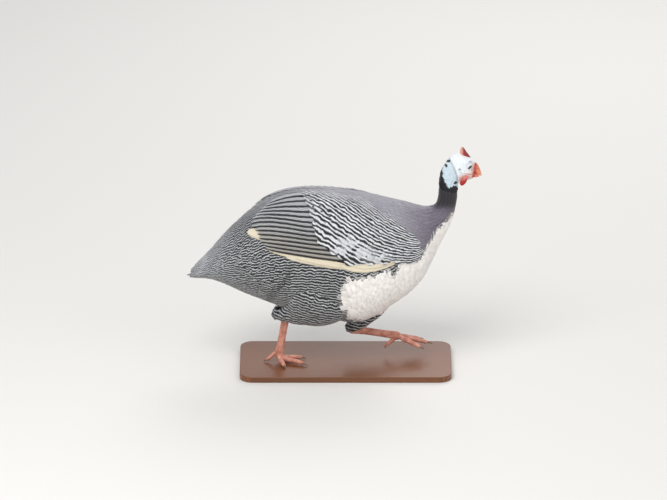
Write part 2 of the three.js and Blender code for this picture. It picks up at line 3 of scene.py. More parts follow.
import bmesh
import bpy
import numpy as np
from bpy.props import FloatProperty, FloatVectorProperty, IntProperty, PointerProperty
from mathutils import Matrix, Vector


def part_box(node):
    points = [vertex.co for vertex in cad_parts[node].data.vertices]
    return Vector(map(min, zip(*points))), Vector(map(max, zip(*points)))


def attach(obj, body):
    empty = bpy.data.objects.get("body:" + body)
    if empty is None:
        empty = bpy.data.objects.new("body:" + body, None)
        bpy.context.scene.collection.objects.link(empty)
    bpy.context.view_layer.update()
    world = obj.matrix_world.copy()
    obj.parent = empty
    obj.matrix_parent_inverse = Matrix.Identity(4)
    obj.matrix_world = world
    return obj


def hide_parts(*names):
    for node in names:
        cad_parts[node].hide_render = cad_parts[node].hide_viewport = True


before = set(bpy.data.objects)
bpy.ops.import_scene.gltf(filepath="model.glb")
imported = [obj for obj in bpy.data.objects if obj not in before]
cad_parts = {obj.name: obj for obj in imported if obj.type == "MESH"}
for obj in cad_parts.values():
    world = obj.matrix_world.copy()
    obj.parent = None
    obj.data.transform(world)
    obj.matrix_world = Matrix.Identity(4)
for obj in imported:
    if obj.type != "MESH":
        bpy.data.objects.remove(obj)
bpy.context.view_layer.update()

# Helmeted guinea fowl, a life-size still figure: looks for the Object Factory part.
# Lengths in the tables are millimetres in the bird's own frame, whose z = 0 is the
# top of the base. The finished meshes are metres in the row frame.

bl_info = {
    "name": "Guinea fowl figure",
    "version": (1, 0, 0),
    "blender": (4, 5, 0),
    "location": "View3D > Sidebar > Guinea fowl",
    "description": "Builds the plumage, bare parts, base and studio of a guinea fowl figure",
    "category": "Object",
}

BIRD_OFFSET = np.array([-20.0, 0.0, 10.0])
PIXEL_MM = 1.65                 # millimetres of the bird per photo pixel
PHOTO_ORIGIN = (333.5, 359.5)   # where the bird frame's origin falls in the photo
RISE, LEAN = 0.9397, 0.3420     # cosine and sine of the camera's 20 degrees
METRES = 0.001                  # per millimetre

# The body line, tail tip to brow: top x, top z, bottom x, bottom z, half width
BODY_LINE = [
    (-243, 151.0, -241, 145.0, 14), (-221, 172.6, -220, 145.6, 24),
    (-201, 194.6, -200, 143.4, 34), (-178, 222.2, -177, 134.5, 44),
    (-146, 253.5, -146, 120.0, 58), (-113, 279.6, -113, 107.0, 68),
    (-75, 294.6, -75, 92.0, 74), (-35, 298.3, -35, 82.0, 77),
    (5, 297.0, 5, 72.5, 78), (40, 293.0, 40, 68.5, 77),
    (70, 286.8, 70, 80.5, 73), (94, 281.0, 94, 97.0, 67),
    (112, 277.0, 112, 110.0, 61), (130, 272.0, 130, 124.3, 54),
    (147, 268.4, 147, 144.0, 46), (156.6, 268.0, 157.4, 164.0, 39),
    (161.7, 269.4, 165.8, 181.7, 33.5), (165.0, 270.6, 177.4, 207.8, 27.5),
    (168.3, 274.1, 188.9, 230.7, 22), (170.8, 280.3, 197.2, 252.7, 18),
    (172.4, 288.8, 201.8, 274.3, 15.2), (173.0, 297.6, 203.6, 289.0, 13.8),
    (173.2, 308.5, 204.6, 299.0, 13.2), (174.6, 321.0, 205.0, 304.6, 13.0),
    (177.2, 332.7, 205.2, 308.4, 12.8), (182.6, 344.0, 207.0, 310.8, 12.8),
    (192.0, 354.8, 211.4, 312.5, 13.2), (203.5, 360.9, 216.1, 314.0, 13.3),
    (215.0, 359.6, 220.9, 315.6, 12.7), (225.3, 354.0, 225.2, 316.9, 10.9),
    (233.5, 346.4, 229.0, 318.4, 8.0),
]
UPPER_BILL = [
    (233.2, 345.2, 230.9, 329.4, 7.0), (236.4, 342.4, 233.1, 327.8, 6.0),
    (239.2, 337.6, 236.3, 325.8, 4.7), (241.6, 331.8, 239.4, 324.1, 3.1),
    (243.1, 325.8, 241.6, 322.6, 1.5), (243.3, 322.2, 242.7, 321.8, 0.5),
]
LOWER_BILL = [
    (231.0, 328.9, 229.8, 320.0, 6.4), (233.4, 327.2, 233.0, 319.9, 5.2),
    (236.6, 325.0, 236.4, 320.2, 3.6), (239.6, 323.2, 239.4, 321.2, 1.7),
]
# Casque and wattle rings: z, x, half length, half width
CASQUE_RINGS = [
    (353.6, 215.0, 10.4, 5.1), (357.0, 214.7, 8.8, 4.6), (360.0, 214.3, 7.1, 4.1),
    (363.0, 213.4, 5.6, 3.6), (366.5, 212.4, 4.3, 3.1), (369.6, 211.8, 3.0, 2.3),
    (371.6, 211.5, 1.5, 1.2), (372.2, 211.4, 0.3, 0.3),
]
WATTLE_RINGS = [
    (325.4, 218.2, 2.2, 0.9), (322.6, 216.5, 4.3, 1.7), (318.8, 214.3, 5.2, 2.0),
    (315.0, 212.6, 5.1, 2.4), (312.2, 211.5, 3.8, 2.5), (310.6, 211.1, 2.1, 1.6),
    (309.8, 210.9, 0.4, 0.4),
]
# Limb paths: x, y, z, half depth, half width
THIGHS = {
    "right": [
        (-8, -38, 152, 52, 34), (-20, -38, 134, 57, 36), (-32, -36, 117, 56, 33),
        (-46, -32, 103, 45, 26), (-60, -27, 95, 32, 20), (-72, -24, 90.5, 24, 16),
        (-84, -22, 88.5, 18.5, 13), (-95, -21, 90, 12.5, 9.5), (-101, -21, 92, 6, 5),
    ],
    "left": [
        (60, 40, 136, 46, 26), (64, 40, 116, 44, 26), (62, 38, 96, 37, 24),
        (56, 33, 78, 27, 18), (46, 25, 64, 18, 13), (36, 19.5, 54.5, 13.5, 10.5),
        (27, 17.5, 49.5, 10.2, 8.5), (20, 17, 47.5, 5, 4.5),
    ],
}
SHANKS = {
    "right": ((-77, -20, 93), (-90, -15, 16.5), (1, 0, 0)),
    "left": ((29, 17, 47), (107.5, 17, 35), (0, 0, 1)),
}
SHANK_GIRTHS = [(0.0, 7.9, 6.6), (0.10, 7.4, 5.9), (0.2, 6.7, 4.8), (0.34, 6.2, 4.3),
                (0.62, 6.1, 4.3), (0.82, 6.5, 4.8), (0.93, 7.1, 6.0), (1.0, 6.4, 6.2)]
TOES = {
    "right": {
        "inner": [(-90, -13, 12), (-79, -8, 6.2), (-66, -5, 5.0), (-55, -3.4, 4.4), (-46, -2.6, 1.1)],
        "middle": [(-90, -15, 12), (-77, -19, 6.4), (-63, -25, 5.4), (-52, -30, 4.6), (-42, -35, 1.1)],
        "outer": [(-90, -17, 12), (-87, -25, 6.2), (-84, -34, 5.2), (-81.5, -41, 4.4), (-79.4, -48, 1.1)],
        "hind": [(-89, -14, 24), (-97, -14, 15.5), (-105, -14, 8.4), (-109.5, -14, 4.6), (-115, -14, 1.1)],
    },
    "left": {
        "inner": [(107, 15.5, 34.6), (118, 9, 31), (131, 2.4, 27), (142, -3.2, 23.6), (151, -7.6, 20)],
        "middle": [(108, 17, 35), (122, 17.2, 31.4), (138, 17.6, 27.4), (153, 18, 23.6), (165, 18.2, 19.6)],
        "outer": [(107, 18.5, 34.4), (118, 24, 30.6), (131, 29.6, 26.6), (141.5, 34, 23.4),
                  (150.5, 38, 19.8)],
        "hind": [(105, 17, 32), (97, 16.8, 26.4), (91, 16.8, 21.4), (87.4, 16.8, 17.6), (85, 16.8, 12.6)],
    },
}
FOOT_PADS = {"right": (-89, -15, 13, 7.0), "left": (106, 17, 34.4, 6.6)}
EYE = (224.0, 8.3, 341.3)
EAR = (207.2, 337.4)
EYE_RADIUS = 5.0


def linear(value):
    """A colour as the shaders want it, from its sRGB hex number."""
    parts = [(value >> shift & 255) / 255 for shift in (16, 8, 0)]
    return tuple(c / 12.92 if c <= 0.04045 else ((c + 0.055) / 1.055) ** 2.4 for c in parts)


def smooth(low, high, x):
    t = np.clip((x - low) / (high - low), 0.0, 1.0)
    return t * t * (3 - 2 * t)


def blend(a, b, t):
    return a + (b - a) * t


class Form:
    """A lofted form: each station is a centre, an up vector and a side vector."""

    def __init__(self, stations):
        self.stations = np.array(stations, float)
        self.u = np.linspace(0, len(stations) - 1, 1500)
        centre = self.section(self.u)[:, :3]
        steps = np.linalg.norm(np.diff(centre, axis=0), axis=1)
        self.s = np.concatenate([[0.0], np.cumsum(steps)])

    def section(self, u):
        k = self.stations
        last = len(k) - 1
        i = np.clip(np.floor(u).astype(int), 0, last - 1)
        t = (np.asarray(u) - i)[..., None]
        p0, p1 = k[np.maximum(i - 1, 0)], k[i]
        p2, p3 = k[i + 1], k[np.minimum(i + 2, last)]
        m1, m2 = (p2 - p0) / 2, (p3 - p1) / 2
        return ((2 * t**3 - 3 * t**2 + 1) * p1 + (t**3 - 2 * t**2 + t) * m1
                + (3 * t**2 - 2 * t**3) * p2 + (t**3 - t**2) * m2)

    def reach(self, u):
        return np.interp(u, self.u, self.s)

    def station(self, s):
        return np.interp(s, self.s, self.u)

    def at(self, s, a, h=0.0):
        k = self.section(self.station(s))
        up, side = k[..., 3:6], k[..., 6:9]
        h = np.asarray(h, float)[..., None]
        tall = 1 + h / np.linalg.norm(up, axis=-1, keepdims=True)
        wide = 1 + h / np.linalg.norm(side, axis=-1, keepdims=True)
        return k[..., :3] + up * tall * np.cos(a)[..., None] + side * wide * np.sin(a)[..., None]

    def rates(self, s, a):
        """Millimetres of surface per millimetre of s and per radian of angle."""
        along = np.linalg.norm(self.at(s + 0.5, a) - self.at(s - 0.5, a), axis=-1)
        round_ = np.linalg.norm(self.at(s, a + 0.01) - self.at(s, a - 0.01), axis=-1) / 0.02
        return np.maximum(along, 0.12), np.maximum(round_, 0.5)

    def outward(self, s, a):
        along = self.at(s + 0.6, a) - self.at(s - 0.6, a)
        round_ = self.at(s, a + 0.02) - self.at(s, a - 0.02)
        out = np.cross(along, round_)
        return out / np.maximum(np.linalg.norm(out, axis=-1, keepdims=True), 1e-9)

    def girth(self, s, a):
        """Millimetres of surface from the back's middle line to the angle a."""
        total = np.zeros_like(s)
        steps = 10
        for i in range(steps):
            total += self.rates(s, a * (i + 0.5) / steps)[1] * np.abs(a) / steps
        return total


def upright(line):
    """A form from sections in the bird's middle plane."""
    return Form([((tx + bx) / 2, 0, (tz + bz) / 2, (tx - bx) / 2, 0, (tz - bz) / 2, 0, w, 0)
                 for tx, tz, bx, bz, w in line])


def limb(path, reference):
    """A form round a path of x, y, z, half depth, half width."""
    points = np.array([p[:3] for p in path], float)
    stations = []
    for i, (_, _, _, depth, width) in enumerate(path):
        along = points[min(i + 1, len(path) - 1)] - points[max(i - 1, 0)]
        along /= np.linalg.norm(along)
        side = np.cross(reference, along)
        side /= np.linalg.norm(side)
        stations.append((*points[i], *(np.cross(along, side) * depth), *(side * width)))
    return Form(stations)


BODY = upright(BODY_LINE)


def photo_place(p):
    """Where a point of the bird falls in the photo, as if on the near side."""
    rise = RISE * p[..., 2] - LEAN * np.abs(p[..., 1])
    return p[..., 0] / PIXEL_MM + PHOTO_ORIGIN[0], PHOTO_ORIGIN[1] - rise / PIXEL_MM


def line_distance(x, z, line):
    """Distance to a line of straight stretches."""
    near = np.full(x.shape, 1e9)
    for (x1, z1), (x2, z2) in zip(line, line[1:]):
        dx, dz = x2 - x1, z2 - z1
        t = np.clip(((x - x1) * dx + (z - z1) * dz) / (dx * dx + dz * dz), 0, 1)
        near = np.minimum(near, np.hypot(x - x1 - t * dx, z - z1 - t * dz))
    return near


def inside(px, py, corners):
    """Signed distance in pixels to a closed outline, positive inside it."""
    outline = corners + corners[:1]
    within = np.zeros(px.shape, bool)
    for (x1, y1), (x2, y2) in zip(outline, outline[1:]):
        edge = x1 + (py - y1) * (x2 - x1) / ((y2 - y1) or 1e-9)
        within ^= ((y1 > py) != (y2 > py)) & (px < edge)
    near = line_distance(px, py, outline)
    return np.where(within, near, -near)


# Meshes

def finish_piece(obj, material, slot, *nodes):
    obj.data.materials.clear()
    obj.data.materials.append(material)
    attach(obj, "root")
    if nodes:
        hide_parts(*nodes)
    return obj


def new_object(name, mesh):
    obj = bpy.data.objects.new(name, mesh)
    bpy.context.scene.collection.objects.link(obj)
    return obj


def shell(form, rows, columns, height=None, spread=None):
    """A closed skin over a form, as a bmesh in the bird's frame."""
    bm = bmesh.new()
    bmesh.ops.create_grid(bm, x_segments=rows, y_segments=columns, size=1.0)
    co = np.array([v.co for v in bm.verts])
    along = (co[:, 0] + 1) / 2
    angle = (co[:, 1]) * math.pi
    s = spread(along) if spread else along * form.s[-1]
    h = height(s, angle) if height else np.zeros_like(s)
    uv = bm.loops.layers.uv.new("OFBake")
    map_places = 0.01 + 0.98 * np.stack([along, (co[:, 1] + 1) / 2], -1)
    for face in bm.faces:
        for loop in face.loops:
            loop[uv].uv = map_places[loop.vert.index]
    for v, p in zip(bm.verts, form.at(s, angle, h)):
        v.co = p
    bmesh.ops.remove_doubles(bm, verts=bm.verts, dist=1e-4)
    bmesh.ops.holes_fill(bm, edges=[e for e in bm.edges if e.is_boundary], sides=0)
    bmesh.ops.triangulate(bm, faces=[f for f in bm.faces if len(f.verts) > 4])
    bmesh.ops.recalc_face_normals(bm, faces=bm.faces)
    return bm


def to_object(name, *parts):
    """One object from bmeshes in the bird's frame."""
    mesh = bpy.data.meshes.new(name)
    joined = bmesh.new()
    for part in parts:
        part.to_mesh(mesh)
        joined.from_mesh(mesh)
        part.free()
    for v in joined.verts:
        v.co = (v.co + Vector(BIRD_OFFSET)) * METRES
    joined.to_mesh(mesh)
    joined.free()
    mesh.polygons.foreach_set("use_smooth", [True] * len(mesh.polygons))
    return new_object(name, mesh)


def apply_modifiers(obj):
    """Gives an object the mesh that its modifiers make."""
    shown = obj.evaluated_get(bpy.context.evaluated_depsgraph_get())
    mesh = bpy.data.meshes.new_from_object(shown)
    obj.modifiers.clear()
    obj.data = mesh


def remesh(obj, voxel, rounds):
    """Fuses an object's overlapping shells into one skin and softens it."""
    fuse = obj.modifiers.new("fuse", "REMESH")
    fuse.mode = "VOXEL"
    fuse.voxel_size = voxel * METRES
    fuse.use_smooth_shade = True
    ease = obj.modifiers.new("ease", "SMOOTH")
    ease.iterations = rounds
    apply_modifiers(obj)
    return obj


def unite(obj, other):
    """Joins another closed shell to an object's own, so that they share one surface."""
    union = obj.modifiers.new("union", "BOOLEAN")
    union.operation = "UNION"
    union.solver = "EXACT"
    union.object = other
    apply_modifiers(obj)
    bpy.data.objects.remove(other)


def vane_template(outline, across):
    """Vertices (t, across, edge, under) and triangles of one closed vane with a pointed tip."""
    points, faces = [], []
    ring = len(across) + 1
    for t, share in outline:
        points += [(t, e * share, e, 0) for e in across] + [(t, 0.0, 0.0, 1)]
    points.append((1.0, 0.0, 0.0, 0))
    tip = len(points) - 1
    for r in range(len(outline) - 1):
        for i in range(ring):
            a, b = r * ring + i, r * ring + (i + 1) % ring
            if i < ring - 2:
                faces += [(a, b, b + ring), (a, b + ring, a + ring)]
            else:       # each fold of the underside runs as the one above it does
                faces += [(a, b, a + ring), (b, b + ring, a + ring)]
    for i in range(1, ring - 1):
        faces.append((0, i + 1, i))
    last = (len(outline) - 1) * ring
    for i in range(ring):
        faces.append((last + i, last + (i + 1) % ring, tip))
    return np.array(points), np.array(faces)


BODY_VANE = vane_template([(0, 0.5), (0.4, 0.95), (0.74, 1.0), (0.93, 0.66)], (-1, 0, 1))
WING_VANE = vane_template(
    [(0, 0.5), (0.2, 0.8), (0.4, 0.97), (0.6, 1.0), (0.78, 0.97), (0.9, 0.8), (0.97, 0.5)],
    (-1, -0.6, -0.1, 0.35, 0.5, 0.8, 1))

TAIL_REACH = 18.0       # over its last stretch the tail closes to a blade
TAIL_PINCH = 2.7        # by this much on each face


def bake_patch(row, angle, t, edge):
    """A small patch of the OFBake map for each vane, where its root lies on the skin's map."""
    along = np.clip(row, 0.01, 0.985)[:, None] + 0.003 * t
    round_ = (0.5 + angle / (2 * math.pi)).clip(0.01, 0.985)[:, None] + 0.0015 * edge
    return np.stack([along, round_], -1)


class Coat:
    """Vanes gathered over one or more forms into one mesh."""

    def __init__(self, name, seed):
        self.name = name
        self.random = np.random.default_rng(seed)
        self.parts = []

    def grow(self, form, template, s, a, length, width, paint, yaw=0.0, low=-3.5, high=0.3,
             crown=0.5, thick=0.3, sense=-1, lane=None, ragged=0.06, bake=None, taper=0.0):
        """Adds vanes rooted at s, a, in millimetres, with heights low at root and high at tip.

        Crown is the drop from the shaft to the edges, thick the depth below it, sense
        the way along the form. Paint gives dark and light colours.
        """
        points, faces = template
        count = len(s)
        length, width, yaw, low, high = (
            np.asarray(v, float) * np.ones(count) for v in (length, width, yaw, low, high))
        side = np.where(a < 0, -1.0, 1.0)
        along_rate, round_rate = form.rates(s, a)
        t = points[:, 0][None, :]
        edge = points[:, 2][None, :]
        under = points[:, 3][None, :]
        jitter = self.random.normal(0, ragged, (count, len(points))) * (1 - under)
        forward = length[:, None] * (t + jitter * 0.25 * (t > 0.5))
        wide = width[:, None] / 2 * points[:, 1][None, :] * (1 + jitter) * (1 - taper * t)
        swing = yaw[:, None]
        ds = (np.cos(swing) * forward - np.sin(swing) * wide) * sense
        da = (np.sin(swing) * forward + np.cos(swing) * wide) * side[:, None]
        place_s = s[:, None] + ds / along_rate[:, None]
        place_a = a[:, None] + da / round_rate[:, None]
        height = blend(low[:, None], high[:, None], t) - crown * edge**2 - under * (crown + thick)
        if form is BODY:
            height = height - TAIL_PINCH * smooth(TAIL_REACH, 0, place_s)
        xyz = form.at(np.clip(place_s, 0.05, form.s[-1] - 0.05), place_a, height)
        tip = form.at(np.clip(s + sense * length * 0.85 * np.cos(yaw) / along_rate, 0, form.s[-1]),
                      a + length * 0.85 * np.sin(yaw) / round_rate * side)
        if lane is None:
            lanes = form.girth(s, a)[:, None] + da * side[:, None]
            lanes = np.stack([lanes, s[:, None] + ds], -1)
        else:
            lanes = lane(xyz, forward, wide)
        lanes = lanes + self.random.normal(0, 0.35, (count, 1, 1))
        dark, light = paint(tip, edge, self.random)
        luck = np.repeat(self.random.random(count)[:, None], len(points), 1)
        row = s / form.s[-1] if bake is None else bake(s)
        patch = bake_patch(row, a, t, edge)
        vane_uv = np.stack([wide + 0 * t, forward + 0 * t], -1)
        # Near the form's ends its outward way isn't sure, so the vane keeps its own there.
        trust = smooth(2, 16, place_s) * smooth(-2, -16, place_s - form.s[-1]) * (1 - under)
        out = form.outward(place_s.clip(1, form.s[-1] - 1), place_a) * trust[..., None]
        self.parts.append((xyz, faces, lanes, patch, vane_uv, dark, light, luck, out))

    def lay(self, template, side, paths, width, paint, low, high, crown=0.4, thick=0.4,
            lane=None, ragged=0.02, taper=0.1, tilt=0.0):
        """Adds wing vanes along curves of three photo places: root, middle and tip."""
        points, faces = template
        paths = np.array(paths, float)
        s, a = wing_place(paths[..., 0], paths[..., 1])
        count = len(paths)
        jitter = self.random.normal(0, ragged, (count, len(points)))
        t = points[:, 0][None, :] + jitter * 0.2 * (points[:, 0][None, :] > 0.5)
        edge, under = points[:, 2][None, :], points[:, 3][None, :]
        # The middle place lies on the curve, so the control point is drawn outward.
        shares = [(1 - t)**2, 2 * t * (1 - t), t**2]
        slopes = [-2 * (1 - t), 2 - 4 * t, 2 * t]
        knots = [(v[:, 0:1], 2 * v[:, 1:2] - (v[:, 0:1] + v[:, 2:3]) / 2, v[:, 2:3]) for v in (s, a)]
        (cs, ca), (ds, da) = [[sum(w * k for w, k in zip(row, knot)) for knot in knots]
                              for row in (shares, slopes)]
        along, around = BODY.rates(cs, ca)
        run, drop = ds * along, da * around
        size = np.hypot(run, drop)
        width = np.asarray(width, float) * np.ones(count)
        wide = width[:, None] / 2 * points[:, 1][None, :] * (1 + jitter) * (1 - taper * t)
        place_s = cs + drop / size * wide / along
        place_a = ca - run / size * wide / around
        height = blend(np.asarray(low)[..., None], np.asarray(high)[..., None], t)
        # The vanes sink toward the middle line of the back.
        height = height * blend(0.25, 1.0, smooth(math.radians(6), math.radians(30), place_a))
        height = height - crown * edge**2 + tilt * edge - under * (crown + thick)
        xyz = BODY.at(place_s, place_a, height)
        forward = t * size.mean(1, keepdims=True)
        lanes = np.stack([wide + 0 * t, forward], -1) if lane is None else lane(place_s, place_a)
        lanes = lanes + self.random.normal(0, 0.25, (count, 1, 1))
        out = BODY.outward(place_s, place_a) * (1 - under)[..., None]
        xyz[..., 1] *= side
        out[..., 1] *= side
        dark, light = paint(paths[:, 2], edge, self.random)
        if side > 0:    # the far wing's upper edge fades into the mantle
            veil = smooth(math.radians(31), math.radians(20), place_a)[..., None]
            dark, light = blend(dark, MANTLE_DARK, veil), blend(light, MANTLE_LIGHT, veil)
        luck = np.repeat(self.random.random(count)[:, None], len(points), 1)
        patch = bake_patch(skin_row(s[:, 0]), side * a[:, 0], t, edge)
        self.parts.append((xyz, faces, lanes, patch,
                           np.stack([wide + 0 * t, forward], -1), dark, light, luck, out))

    def build(self, material, slot, *nodes, soften=0.65):
        verts, tris, outs, loops = [], [], [], {"Lanes": [], "OFBake": [], "Vane": []}
        colours, lucks, start = {"dark": [], "light": []}, [], 0
        for xyz, faces, lanes, patch, vane_uv, dark, light, luck, out in self.parts:
            count, per = xyz.shape[:2]
            verts.append(xyz.reshape(-1, 3))
            outs.append(out.reshape(-1, 3))
            corners = (xyz - xyz.mean(1, keepdims=True))[:, faces]
            volume = np.einsum("ijk,ijk->i", corners[:, :, 0], np.cross(corners[:, :, 1], corners[:, :, 2]))
            wound = np.where((volume > 0)[:, None, None], faces[None], faces[None, :, ::-1])
            tris.append((wound + (start + per * np.arange(count))[:, None, None]).reshape(-1, 3))
            start += count * per
            for key, value in (("Lanes", lanes), ("OFBake", patch), ("Vane", vane_uv)):
                loops[key].append(value.reshape(-1, 2))
            for key, value in (("dark", dark), ("light", light)):
                colours[key].append(np.broadcast_to(value, (count, per, 3)).reshape(-1, 3))
            lucks.append(luck.reshape(-1))
        verts = (np.concatenate(verts) + BIRD_OFFSET) * METRES
        tris = np.concatenate(tris)
        mesh = bpy.data.meshes.new(self.name)
        mesh.vertices.add(len(verts))
        mesh.vertices.foreach_set("co", verts.astype(np.float32).ravel())
        mesh.loops.add(tris.size)
        mesh.loops.foreach_set("vertex_index", tris.ravel().astype(np.int32))
        mesh.polygons.add(len(tris))
        mesh.polygons.foreach_set("loop_start", np.arange(0, tris.size, 3, dtype=np.int32))
        mesh.polygons.foreach_set("use_smooth", np.ones(len(tris), bool))
        mesh.update(calc_edges=True)
        flat = tris.ravel()
        for key, value in loops.items():
            layer = mesh.uv_layers.new(name=key)
            layer.data.foreach_set("uv", np.concatenate(value)[flat].astype(np.float32).ravel())
        for key, value in colours.items():
            layer = mesh.color_attributes.new(key, "FLOAT_COLOR", "POINT")
            rgba = np.ones((len(verts), 4), np.float32)
            rgba[:, :3] = np.concatenate(value)
            layer.data.foreach_set("color", rgba.ravel())
        mesh.attributes.new("luck", "FLOAT", "POINT").data.foreach_set(
            "value", np.concatenate(lucks).astype(np.float32))
        # The barbs lie almost level with the coat, so the vanes are lit nearly as it is.
        own = np.zeros(len(verts) * 3, np.float32)
        mesh.vertices.foreach_get("normal", own)
        outs = np.concatenate(outs)
        kept = 1 - soften * np.linalg.norm(outs, axis=1, keepdims=True)
        bent = own.reshape(-1, 3) * kept + outs * soften
        mesh.normals_split_custom_set_from_vertices(bent / np.linalg.norm(bent, axis=1, keepdims=True))
        return finish_piece(new_object(self.name, mesh), material, slot, *nodes)


# Markings, and a line of painted shade, in photo places

WHITE_BREAST = [
    (454, 212), (444, 223), (437, 229), (431, 240), (424, 251), (418, 263), (413, 262),
    (407, 250), (402, 262), (394, 275), (385, 270), (370, 276), (356, 277), (347, 281),
    (342, 289), (340, 299), (342, 308), (347, 316), (353, 320), (362, 321), (374, 319),
    (390, 330), (480, 332), (480, 212),
]
MANTLE = [
    (303, 150), (300, 193), (330, 198), (355, 203), (372, 215), (385, 222), (395, 232),
    (410, 245), (418, 252), (424, 250), (431, 240), (437, 228), (443, 222), (454, 212), (454, 150),
]

# A line of painted shade in the crease between the thigh and the rump
THIGH_CREASE_SHADE = [(291, 268), (289, 276), (284, 284), (276, 292), (268, 300)]


# Colours. A paint function takes the photo places of the tips, the place across the vane
# and the coat's random numbers, and gives the dark and light colours of the vane's points.

def hexes(*values):
    return [np.array(linear(v)) for v in values]


SLATE_DARK, SLATE_LIGHT, RUMP_DARK, RUMP_LIGHT, TAIL_DARK, TAIL_LIGHT = hexes(
    0x0F1114, 0xBCBEC0, 0x26282D, 0x9FA1A5, 0x606367, 0xC2C4C6)
MANTLE_DARK, MANTLE_LIGHT, SADDLE_DARK, SADDLE_LIGHT, SHAWL_DARK, SHAWL_LIGHT = hexes(
    0x8F8D95, 0x9B99A1, 0x64666B, 0x97999D, 0x665E6C, 0x736B79)
BREAST_WHITE, BREAST_SHADE, NECK_BLACK, NECK_SOOT = hexes(0xFDF9F5, 0xF3EDE8, 0x151318, 0x29252B)
# Among the wing's colours, the near-black after the warm web is painted shade in the gaps between the
# secondaries.
WING_BLACK, WING_WHITE, WEB_GREY, WEB_PALE, WEB_WARM, WEB_GAP_SHADE, CREAM = hexes(
    0x121317, 0xD9DBDE, 0x929497, 0xB8BABD, 0x8E867B, 0x0F1013, 0xE6DAC1)


def spread_colour(colour, amount):
    return colour[None, None, :] * amount[..., None]


def body_paint(tip, edge, random):
    """Dark and light colours of the body's feathers, from where their tips fall, with painted shade along
    the crease between the thigh and the rump.
    """
    px, py = photo_place(tip)
    n = len(px)
    px, py = px[:, None], py[:, None]
    tone = 1 + random.normal(0, 0.05, (n, 1))

    def mixed(a, b, amount):
        return a * (1 - amount[..., None]) + b * amount[..., None]

    dark = spread_colour(SLATE_DARK, tone)
    light = spread_colour(SLATE_LIGHT, tone)
    back = smooth(262, 205, py)
    dark, light = mixed(dark, RUMP_DARK, back), mixed(light, RUMP_LIGHT, back)
    # Painted shade darkens both colours along the crease between the thigh and the rump.
    crease_shade = 0.55 * smooth(5, 0.5, line_distance(px, py, THIGH_CREASE_SHADE))[..., None]
    dark, light = dark * (1 - crease_shade), light * (1 - crease_shade)
    saddle = smooth(222, 200, py)
    dark, light = mixed(dark, SADDLE_DARK, saddle), mixed(light, SADDLE_LIGHT, saddle)
    tail = smooth(246, 198, px)
    dark, light = mixed(dark, TAIL_DARK, tail), mixed(light, TAIL_LIGHT, tail)
    mantle = smooth(-4, 4, inside(px, py, MANTLE) + random.normal(0, 1.2, (n, 1)))
    shawl = smooth(392, 436, px)
    dark = mixed(dark, blend(MANTLE_DARK, SHAWL_DARK, shawl[..., None]), mantle)
    light = mixed(light, blend(MANTLE_LIGHT, SHAWL_LIGHT, shawl[..., None]), mantle)
    white = smooth(-1.6, 1.6, inside(px, py, WHITE_BREAST) + random.normal(0, 0.9, (n, 1)))
    shade = blend(BREAST_SHADE, BREAST_WHITE, random.random((n, 1))[..., None])
    dark, light = mixed(dark, shade, white), mixed(light, shade, white)
    neck = smooth(214, 203, py) * smooth(430, 437, px)
    dark, light = mixed(dark, NECK_BLACK, neck), mixed(light, NECK_SOOT, neck)
    return dark, light


BAR_SHARE = 0.42        # share of a feather's width that the pale pearls fill


def plumage_tone(points):
    """The coat's markings at points of the skin below it, its bars run together."""
    dark, light = body_paint(points, 0.0, np.random.default_rng(3))
    return blend(dark, light, BAR_SHARE)[:, 0]


# Materials

def node(tree, kind, settings=None, **inputs):
    """Adds a shader node; inputs are values, or sockets to link. in_3 means input 3."""
    made = tree.nodes.new("ShaderNode" + kind)
    for key, value in (settings or {}).items():
        setattr(made, key, value)
    for key, value in inputs.items():
        socket = made.inputs[int(key[3:])] if key.startswith("in_") else made.inputs[key.replace("_", " ")]
        if isinstance(value, bpy.types.NodeSocket):
            tree.links.new(value, socket)
        else:
            socket.default_value = value
    return made


def new_material(name, roughness, **fixed):
    material = bpy.data.materials.new(name)
    material.use_nodes = True
    tree = material.node_tree
    tree.nodes.clear()
    surface = node(tree, "BsdfPrincipled", Roughness=roughness)
    for key, value in fixed.items():
        surface.inputs[key.replace("_", " ")].default_value = value
    output = node(tree, "OutputMaterial")
    tree.links.new(surface.outputs[0], output.inputs[0])
    return material, tree, surface


def maths(tree, operation, a, b=0.0, c=0.0):
    return node(tree, "Math", {"operation": operation}, in_0=a, in_1=b, in_2=c).outputs[0]


def mixed_colour(tree, factor, a, b):
    return node(tree, "Mix", {"data_type": "RGBA"}, in_0=factor, in_6=a, in_7=b).outputs[2]


def mapped(tree, value, from_min=0.0, from_max=1.0, to_min=0.0, to_max=1.0, kind="LINEAR"):
    return node(tree, "MapRange", {"interpolation_type": kind}, Value=value, From_Min=from_min,
                From_Max=from_max, To_Min=to_min, To_Max=to_max).outputs[0]


def scaled(tree, vector, amount):
    return node(tree, "VectorMath", {"operation": "SCALE"}, in_0=vector, Scale=amount).outputs[0]


def noise(tree, place, scale, detail, **more):
    return node(tree, "TexNoise", Vector=place, Scale=scale, Detail=detail, **more).outputs[0]


def attribute(tree, name, output=0):
    """An attribute of the mesh: output 0 is a colour, output 2 a number."""
    return node(tree, "Attribute", {"attribute_name": name}).outputs[output]


def colour_ramp(tree, factor, stops):
    """A ramp through stops of position and hex colour."""
    ramp = node(tree, "ValToRGB", in_0=factor)
    elements = ramp.color_ramp.elements
    elements.remove(elements[0])
    for i, (position, colour) in enumerate(stops):
        stop = elements[0] if i == 0 else elements.new(position)
        stop.position = position
        stop.color = rgba(linear(colour))
    return ramp.outputs[0]


def finish_surface(tree, surface, colour, height, strength, distance):
    """Links a surface's colour and its bump, whose depth is in metres."""
    tree.links.new(colour, surface.inputs["Base Color"])
    bump = node(tree, "Bump", Strength=strength, Distance=distance, Height=height)
    tree.links.new(bump.outputs[0], surface.inputs["Normal"])


def rgba(colour):
    return (*colour, 1.0)


BARB_SPACING = 0.7      # millimetres, drawn wider than life so that the barbs show


